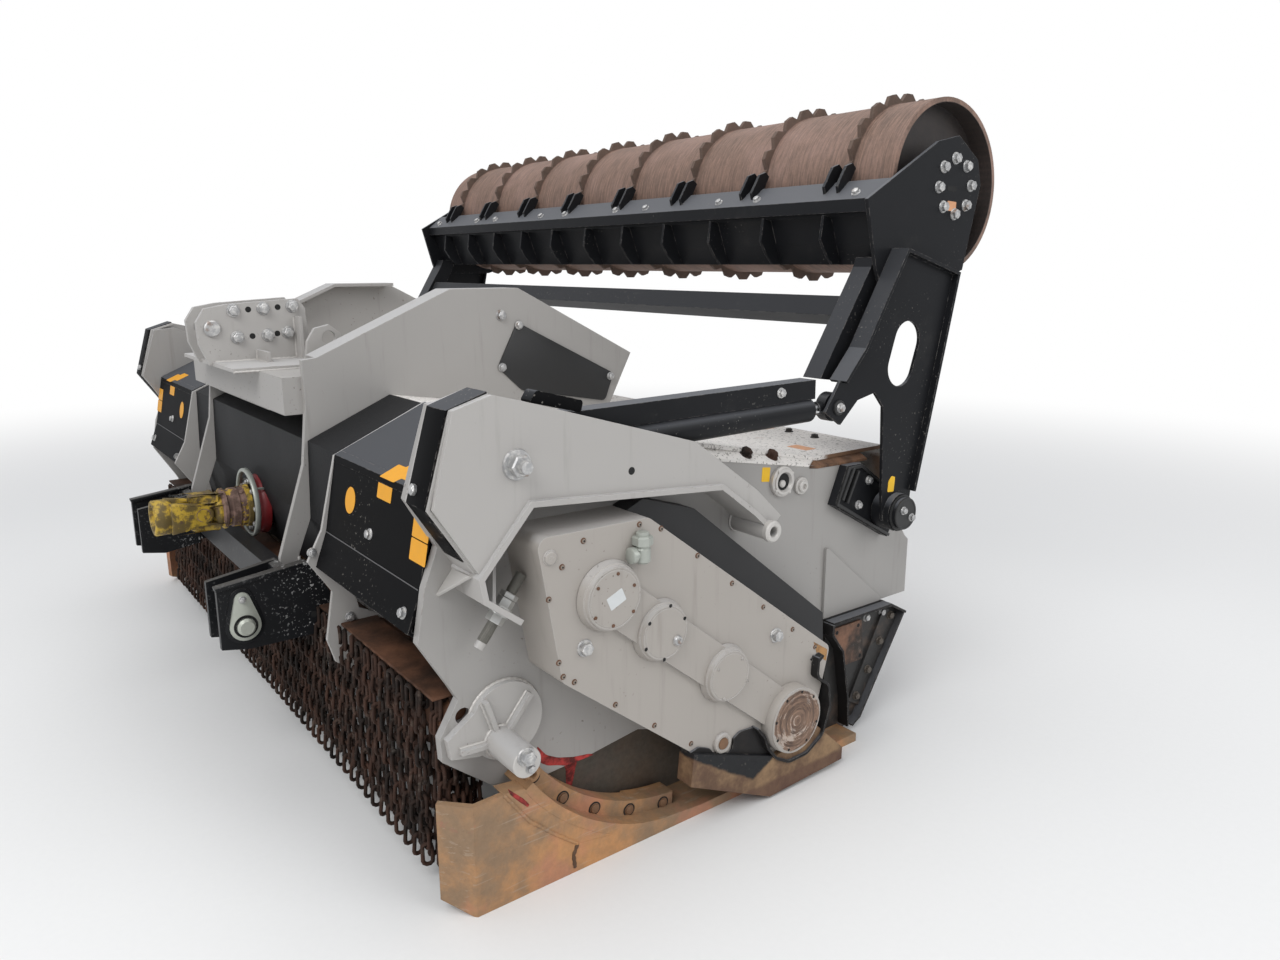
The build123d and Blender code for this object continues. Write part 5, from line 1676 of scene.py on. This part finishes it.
class MULCHER_OT_adjusters(bpy.types.Operator):
    """Threaded stud and nuts of each guard's adjuster"""

    bl_idname = "mulcher.adjusters"
    bl_label = "Adjuster"

    def execute(self, context):
        axis = (0.0, 0.613, 0.790)

        def along(s, distance):
            return (s * 1515.0, -748.6 + distance * 0.613, 738.5 + distance * 0.790)

        def threads(bm, s):
            profile = [(0.0, 0.0), (11.0, 0.0)]
            height = 1.0
            while height < 176.0:
                profile += [(12.3, height), (13.6, height + 1.2), (12.3, height + 2.4)]
                height += 2.6
            profile += [(11.0, height), (0.0, height)]
            add_lathe(bm, profile, along(s, -89.0), axis, 14)

        def nuts(bm, s):
            add_lathe(bm, [(0, 0), (25, 0), (25, 4), (0, 4)], along(s, 0.4), axis, 24)
            add_lathe(bm, [(0, 0), (21, 0), (22, 2), (22, 18), (20, 20), (0, 20)], along(s, 4.0), axis, 6)
            add_lathe(bm, [(0, 0), (21, 0), (22, 2), (22, 11), (20, 13), (0, 13)], along(s, 25.0), axis, 6)
            back = tuple(-v for v in axis)
            add_lathe(bm, [(0, 0), (25, 0), (25, 4), (0, 4)], along(s, -14.4), back, 24)
            add_lathe(bm, [(0, 0), (21, 0), (22, 2), (22, 18), (20, 20), (0, 20)], along(s, -18.4), back, 6)

        both_sides("adjuster_threads", threads, "thread_steel")
        both_sides("adjuster_nuts", nuts, "bright_zinc")
        return {"FINISHED"}


class MULCHER_OT_side_fittings(bpy.types.Operator):
    """Ports, tube ends and bracket ribs on the side plates"""

    bl_idname = "mulcher.side_fittings"
    bl_label = "Side fittings"

    def execute(self, context):
        def port_rings(bm, s):
            profile = [(25, 8), (44, 8), (44, 0), (45, 0), (45, 10), (41, 13), (38, 13), (37, 17), (30, 17), (27, 13), (25, 8)]
            add_lathe(bm, profile, (s * 1450.5, 216.0, 884.0), (s, 0, 0), 48)
            for k in range(4):
                angle = math.radians(35.0 + 90.0 * k)
                origin = (s * 1463.0, 216.0 + 39.0 * math.cos(angle), 884.0 + 39.0 * math.sin(angle))
                add_lathe(bm, [(0, 0), (5, 0), (5, 4), (3, 5), (0, 5)], origin, (s, 0, 0), 8)

        def port_floor(bm, s):
            add_lathe(bm, [(0, 0), (26, 0), (26, 1), (0, 1)], (s * 1458.2, 216.0, 884.0), (s, 0, 0), 32)

        def port_bridge(bm, s):
            add_lathe(bm, [(0, 0), (11, 0), (11, 5), (8, 8), (0, 8)], (s * 1459.0, 211.0, 879.0), (s, 0, 0), 16)

        def plugs(bm, s):
            profile = [(0, 0), (26, 0), (26, 8), (24, 10), (18, 10), (18, 16), (15, 19), (9, 19), (8, 12), (0, 12)]
            add_lathe(bm, profile, (s * 1450.5, 298.0, 859.0), (s, 0, 0), 32)

        def tube_ends(bm, s):
            profile = [(14.2, 6), (14.2, 10), (17, 13), (26, 13), (30, 9), (30, -4), (27.2, -5), (27.2, 6), (14.2, 6)]
            add_lathe(bm, profile, (s * 1586.0, 42.0, 795.0), (s, 0, 0), 36)

        def bracket_edges(bm, s):
            line = [(689.0, 640.0), (427.0, 783.0), (475.0, 897.0), (540.0, 897.0), (649.0, 823.0)]
            add_slab(bm, ribbon(line, -9.0), side_place(1479.0, s), 9.0, 1.5)
            for a, b in (((451, 796), (497, 890)), ((473, 784), (520, 880))):
                add_slab(bm, ribbon([a, b], 8.0), side_place(1479.0, s), 16.0, 2.0)

        both_sides("port_rings", port_rings, "frame_paint")
        both_sides("port_floors", port_floor, "deep_shadow")
        both_sides("port_bridges", port_bridge, "frame_paint")
        both_sides("side_plugs", plugs, "frame_paint")
        both_sides("tube_ends", tube_ends, "frame_paint")
        both_sides("bracket_edges", bracket_edges, "black_paint")
        return {"FINISHED"}


class MULCHER_OT_arms(bpy.types.Operator):
    """Pivot caps, pin heads and scraper bolts of the roller's frame"""

    bl_idname = "mulcher.arms"
    bl_label = "Arm trim"

    def execute(self, context):
        def pivot_caps(bm, s):
            profile = [(0, 0), (51, 0), (51, 3), (49, 5), (44, 5), (43, 3.5), (0, 3.5)]
            add_lathe(bm, profile, (s * 1571.5, 650.0, 740.0), (s, 0, 0), 48)

        def pivot_rings(bm, s):
            for x in (1556.0, 1559.5):
                profile = [(30.5, 0), (56, 0), (57, 1), (56, 2), (30.5, 2), (30.5, 0)]
                add_lathe(bm, profile, (s * x, 650.0, 740.0), (s, 0, 0), 48)

        def pin_bosses(bm, s):
            profile = [(0, 0), (22, 0), (22, 6), (20, 8), (0, 8)]
            add_lathe(bm, profile, (s * 1532.0, 356.0, 1097.0), (s, 0, 0), 32)

        def hub_slots(bm, s):
            outline = rounded([(862, 1721), (910, 1719), (911, 1734), (863, 1736)], 6.0)
            add_slab(bm, outline, side_place(1491.8, s), 0.8, 0.0)

        def hub_stickers(bm, s):
            add_slab(bm, rounded([(868, 1662), (914, 1660), (915, 1689), (869, 1691)], 3.0), side_place(1491.8, s), 0.9, 0.0)

        def arm_stickers(bm, s):
            add_slab(bm, rounded([(606, 808), (636, 806), (640, 852), (622, 858), (608, 842)], 4.0), side_place(1532.8, s), 0.9, 0.0)

        both_sides("pivot_caps", pivot_caps, "black_paint")
        both_sides("pivot_rings", pivot_rings, "black_paint")
        both_sides("eye_pin_bosses", pin_bosses, "black_paint", "roller_arms")
        both_sides("hub_slots", hub_slots, "deep_shadow", "roller_arms")
        both_sides("hub_stickers", hub_stickers, "sticker_faded", "roller_arms")
        both_sides("arm_stickers", arm_stickers, "sticker_yellow", "roller_arms")
        zinc = bpy.data.materials["zinc_bolts"]
        cap_rows = []
        pin_rows = []
        scraper_rows = []
        for side, s in SIDES:
            for y, z in ((637, 752), (679, 724)):
                cap_rows.append((at(s * 1575.0, y, z), (s, 0, 0), 0.9))
            pin_rows.append((at(s * 1540.0, 356, 1097), (s, 0, 0), 1.0))
            for x in (1396, 980, 793, 380, 185):
                scraper_rows.append((at(s * x, 550.5, 1706), (0, -0.627, 0.779), 1.0))
        add_fasteners("pivot_bolts", "medium", cap_rows, zinc, "frame")
        for side, s in SIDES:
            cover_rows = [(at(s * 1521.0, 130, 1157), (s, 0, 0), 1.0)]
            add_fasteners(side + "_cylinder_bolt", "medium", cover_rows, zinc, side + "_barrel")
        add_fasteners("eye_pin_bolts", "medium", pin_rows, zinc, "roller_arms")
        add_fasteners("scraper_bolts", "medium", scraper_rows, zinc, "roller_arms")
        return {"FINISHED"}


# Red paint on the lower edge of each side plate, its run down the skid's web and a streak on the sole
RED_EDGE = [(-629, 323), (-602, 288), (-567, 268), (-517, 253), (-471, 246), (-454, 238), (-545, 237)]
RED_EDGE += [(-567, 247), (-599, 257), (-622, 274)]
RED_DRIP = [(-545, 240), (-486, 240), (-498, 204), (-507, 169), (-511, 153), (-528, 161), (-529, 212)]
RED_STREAK = [(-770, 304), (-752, 286), (-728, 262), (-712, 240), (-717, 235), (-738, 256), (-762, 284)]


# Black plates round the lowest cover of each gear case: distance back and height
CASE_GUARD = [
    (-254, 243), (-224, 249), (-183, 231), (-167, 207), (-125, 181),
    (-101, 202), (-98, 232), (-74, 245), (-26, 242), (12, 217),
    (37, 191), (42, 165), (63, 128), (44, 122), (-14, 98),
    (-20, 78), (-94, 130), (-137, 174), (-174, 168),
]
# Rust stain at the case's rear corner
CASE_STAIN = [
    (218, 433), (280, 393), (277, 357), (259, 370), (239, 379), (229, 406),
]


class MULCHER_OT_wear_parts(bpy.types.Operator):
    """Flanges, plates and bolts of the wear plates, skids and support pads"""

    bl_idname = "mulcher.wear_parts"
    bl_label = "Wear parts"

    def execute(self, context):
        def flanges(bm, s):
            for line, wide, thick in (
                ([(412, 404), (409, 368), (462, 303), (497, 129), (504, 32)], 46.0, 8.0),
                ([(420, 409), (706, 409), (789, 364)], 40.0, -8.0),
                ([(789, 364), (583, 37), (545, 16)], 36.0, -9.0),
            ):
                add_slab(bm, ribbon(line, thick), side_place(1464.0, s), wide, 1.4)

        def case_guard(bm, s):
            add_slab(bm, rounded(CASE_GUARD, 4.0, 2), side_place(1470.0, s), 136.0, 1.5)

        def case_stain(bm, s):
            add_slab(bm, rounded(CASE_STAIN, 3.0, 2), side_place(1600.0, s), 0.5, 0.0)

        def covers(bm, s):
            add_slab(bm, rounded([(452, 372), (590, 372), (606, 232), (480, 232)], 5.0), side_place(1469.5, s), 7.0, 1.0)

        def skid_sides(bm, s):
            line = [(-783, 293), (-715, 194), (-641, 127), (-578, 76), (-400, 44)]
            for k in range(12):
                angle = math.radians(251.0 - 3.4 * k)
                line.append((-199.0 + 628.0 * math.cos(angle), 633.0 + 628.0 * math.sin(angle)))
            add_slab(bm, line, side_place(1500.0, s), 49.4, 0.6)

        def rails(bm, s):
            line = []
            for k in range(10):
                angle = math.radians(253.0 + 1.6 * k)
                line.append((-199.0 + 605.5 * math.cos(angle), 633.0 + 605.5 * math.sin(angle)))
            for k in range(10):
                angle = math.radians(267.4 - 1.6 * k)
                line.append((-199.0 + 564.6 * math.cos(angle), 633.0 + 564.6 * math.sin(angle)))
            add_slab(bm, line, side_place(1440.0, s), 59.7, 1.5)

        def rail_rings(bm, s):
            for y, z in ((-587, 186), (-490, 118), (-378, 70), (-261, 46), (-670, 276)):
                ring = [(15, 0), (18.5, 0), (18.5, 1.2), (15, 1.2), (15, 0)]
                add_lathe(bm, ring, (s * 1500.0, y, z), (s, 0, 0), 24)

        def plate_weld(bm, s):
            add_bead(bm, [(s * 1548.0, -577, 78), (s * 1548.0, -590, 50), (s * 1548.0, -586, 14)], 6.0)

        def bushings(bm, s):
            profile = [(9, 0), (22, 0), (22, 26), (19, 29), (11, 29), (9, 26), (9, 0)]
            add_lathe(bm, profile, (s * 1500.0, -688.0, 300.0), (s, 0, 0), 24)

        def red_paint(bm, s):
            add_slab(bm, rounded(RED_EDGE, 8.0, 3), side_place(1449.8, s), 0.8, 0.0)
            add_slab(bm, rounded(RED_DRIP, 6.0, 3), side_place(1424.8, s), 0.8, 0.0)
            add_slab(bm, rounded(RED_STREAK, 4.0, 3), side_place(1549.2, s), 0.8, 0.0)

        def stub_caps(bm, s):
            add_lathe(bm, [(0, 0), (37, 0), (37, 2), (35, 4), (0, 4)], (s * 1599.8, -745.0, 386.0), (s, 0, 0), 36)

        both_sides("wear_flanges", flanges, "worn_black")
        both_sides("case_guards", case_guard, "worn_black")
        both_sides("case_stains", case_stain, "stain_rust")
        both_sides("wear_covers", covers, "wear_rust")
        both_sides("skid_sides", skid_sides, "skid_steel")
        both_sides("rail_ends", rails, "skid_steel")
        both_sides("rail_rings", rail_rings, "deep_shadow")
        both_sides("plate_welds", plate_weld, "rotor_steel", smooth=70.0)
        both_sides("skid_bushings", bushings, "skid_steel")
        both_sides("stub_caps", stub_caps, "frame_paint")
        both_sides("red_paint_runs", red_paint, "red_trace")
        both_sides("pad_beads", pad_beads, "frame_paint", smooth=70.0)
        both_sides("skid_beads", skid_beads, "skid_steel", smooth=70.0)
        zinc = bpy.data.materials["zinc_bolts"]
        rows = []
        holes = []
        stub_rows = []
        for side, s in SIDES:
            for y, z in ((618, 372), (698, 372)):
                rows.append((at(s * 1470.0, y, z), (s, 0, 0), 1.0))
            for y, z in ((470, 356), (574, 356), (590, 246), (494, 246)):
                holes.append((at(s * 1476.5, y, z), (s, 0, 0), 0.7))
            stub_rows.append((at(s * 1603.5, -748, 404), (s, 0, 0), 1.1))
            stub_rows.append((at(s * 1603.5, -738, 370), (s, 0, 0), 0.6))
        add_fasteners("wear_top_bolts", "medium", rows, zinc, "frame")
        add_fasteners("wear_cover_holes", "hole", holes, bpy.data.materials["deep_shadow"], "frame")
        add_fasteners("stub_bolts", "big", stub_rows, zinc, "frame")
        return {"FINISHED"}


def pad_beads(bm, s):
    """Beads round the support pad's disc, its ribs and its tube."""
    arc = []
    for k in range(41):
        angle = math.radians(-70.0 + 6.75 * k)
        arc.append((s * 1452.0, -720.0 + 98.5 * math.cos(angle), 429.0 + 98.5 * math.sin(angle)))
    add_bead(bm, arc, 5.0)
    ring = []
    for k in range(25):
        angle = math.radians(15.0 * k)
        ring.append((s * 1471.0, -745.0 + 38.0 * math.cos(angle), 386.0 + 38.0 * math.sin(angle)))
    add_bead(bm, ring, 5.0)
    for tip in ((-783.0, 500.0), (-660.0, 488.0), (-850.0, 392.0)):
        gap = Vector(tip) - Vector((-745.0, 386.0))
        side = Vector((-gap.y, gap.x)).normalized() * 7.0
        start = Vector((-745.0, 386.0)) + gap.normalized() * 38.0
        for t in (1.0, -1.0):
            a = start + side * t
            b = Vector(tip) + side * t
            add_bead(bm, [(s * 1471.0, a.x, a.y), (s * 1471.0, b.x, b.y)], 4.0)
    tube = []
    for k in range(25):
        angle = math.radians(15.0 * k)
        tube.append((s * 1451.0, 42.0 + 28.0 * math.cos(angle), 795.0 + 28.0 * math.sin(angle)))
    add_bead(bm, tube, 4.0)


def skid_beads(bm, s):
    """Beads between the sole and the front plate."""
    line = [(-781, 292), (-714, 196), (-640, 129), (-577, 78)]
    add_bead(bm, [(s * 1549.0, y, z) for y, z in line], 5.0)


class MULCHER_OT_welds(bpy.types.Operator):
    """Weld beads of the tower and the hitch frame"""

    bl_idname = "mulcher.welds"
    bl_label = "Weld beads"

    def execute(self, context):
        def beads(bm, s):
            for x in (60.0, 80.0):
                add_bead(bm, [(s * x, -972, 1192), (s * x, -706, 1192)], 5.0)
            for y in (-841.0, -827.0):
                add_bead(bm, [(s * 82, y, 1192), (s * 188, y, 1192)], 4.0)
            add_bead(bm, [(s * 81, -841, 1194), (s * 81, -841, 1223)], 4.0)
            for y in (-713.0, -699.5):
                add_bead(bm, [(s * 81, y, 1194), (s * 81, y, 1328)], 4.0)
            add_bead(bm, [(s * 320, -980, 1181), (s * 320, -704, 1181)], 4.0)
            add_bead(bm, [(s * 290.5, -748, 1193), (s * 290.5, -706, 1193)], 4.0)
            add_bead(bm, [(s * 309.5, -748, 1193), (s * 309.5, -706, 1193)], 4.0)
            add_bead(bm, [(s * 560.5, -905, 488), (s * 560.5, -905, 648)], 5.0)

        both_sides("frame_beads", beads, "frame_paint", smooth=70.0)
        return {"FINISHED"}


class MULCHER_OT_stage(bpy.types.Operator):
    """Floor, lamps, world and camera"""

    bl_idname = "mulcher.stage"
    bl_label = "Stage and camera"

    def execute(self, context):
        scene = context.scene
        floor_mesh = bpy.data.meshes.new("floor")
        reach = 40.0
        corners = [(-reach, -reach, 0), (reach, -reach, 0), (reach, reach, 0), (-reach, reach, 0)]
        floor_mesh.from_pydata(corners, [], [(0, 1, 2, 3)])
        floor = bpy.data.objects.new("floor", floor_mesh)
        scene.collection.objects.link(floor)
        floor_mesh.materials.append(floor_finish())
        world = bpy.data.worlds.new("studio")
        world.use_nodes = True
        g = Graph(world.node_tree)
        world.node_tree.nodes.clear()
        path = g.node("ShaderNodeLightPath", output="Is Camera Ray")
        seen = path.math("MAXIMUM", path.other("Is Transmission Ray"))
        seen = seen.math("MAXIMUM", path.other("Is Glossy Ray") * 0.25)
        light = g.node("ShaderNodeBackground", None, {0: (0.93, 0.95, 1.0, 1.0), 1: 0.55})
        white = g.node("ShaderNodeBackground", None, {0: (1.0, 1.0, 1.0, 1.0), 1: 1.0})
        both = g.node("ShaderNodeMixShader", None, {0: seen, 1: light, 2: white})
        g.node("ShaderNodeOutputWorld", None, {0: both})
        scene.world = world
        for name, place, aim, size, power in LAMPS:
            lamp = bpy.data.lights.new(name, "AREA")
            lamp.shape = "RECTANGLE"
            lamp.size, lamp.size_y = size
            lamp.energy = power
            lamp_object = bpy.data.objects.new(name, lamp)
            lamp_object.location = place
            direction = Vector(aim) - Vector(place)
            lamp_object.rotation_euler = direction.to_track_quat("-Z", "Y").to_euler()
            scene.collection.objects.link(lamp_object)
        camera = bpy.data.cameras.new("camera")
        camera.lens = 26.02
        camera.sensor_width = 36.0
        camera.clip_start = 0.05
        camera.clip_end = 200.0
        camera_object = bpy.data.objects.new("camera", camera)
        camera_object.location = (3.28, -1.71, 1.5)
        camera_object.rotation_euler = Euler((math.radians(76.86), 0.0, math.radians(52.42)))
        scene.collection.objects.link(camera_object)
        scene.camera = camera_object
        scene.view_settings.view_transform = "Standard"
        return {"FINISHED"}


# Name, place, aim, size, power
LAMPS = (
    ("key_lamp", (3.5, -5.5, 6.5), (0.4, -0.2, 0.8), (5.0, 4.0), 330.0),
    ("fill_lamp", (7.0, 2.5, 4.0), (0.6, 0.2, 0.9), (5.0, 4.0), 130.0),
    ("top_lamp", (-1.0, 0.5, 8.0), (0.0, 0.0, 1.0), (7.0, 6.0), 210.0),
)


class MULCHER_PT_panel(bpy.types.Panel):
    """Lists the makers and the values that they read"""

    bl_idname = "MULCHER_PT_panel"
    bl_label = "Mulcher"
    bl_space_type = "VIEW_3D"
    bl_region_type = "UI"
    bl_category = "Mulcher"

    def draw(self, context):
        for maker in MAKERS:
            self.layout.operator(maker.bl_idname)
        for group in (context.scene.mulcher_colours, context.scene.mulcher_sizes):
            for name in group.__annotations__:
                self.layout.prop(group, name)


MAKERS = (
    MULCHER_OT_stage,
    MULCHER_OT_finishes,
    MULCHER_OT_fasteners,
    MULCHER_OT_chains,
    MULCHER_OT_gear_case,
    MULCHER_OT_drive_shaft,
    MULCHER_OT_hitch,
    MULCHER_OT_covers,
    MULCHER_OT_adjusters,
    MULCHER_OT_side_fittings,
    MULCHER_OT_arms,
    MULCHER_OT_wear_parts,
    MULCHER_OT_welds,
)
CLASSES = (MulcherColours, MulcherSizes) + MAKERS + (MULCHER_PT_panel,)


def register():
    for cls in CLASSES:
        bpy.utils.register_class(cls)
    bpy.types.Scene.mulcher_colours = PointerProperty(type=MulcherColours)
    bpy.types.Scene.mulcher_sizes = PointerProperty(type=MulcherSizes)


def unregister():
    del bpy.types.Scene.mulcher_sizes
    del bpy.types.Scene.mulcher_colours
    for cls in reversed(CLASSES):
        bpy.utils.unregister_class(cls)


def main():
    register()
    for maker in MAKERS:
        area, name = maker.bl_idname.split(".")
        getattr(getattr(bpy.ops, area), name)()
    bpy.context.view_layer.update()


if __name__ == "__main__":
    main()
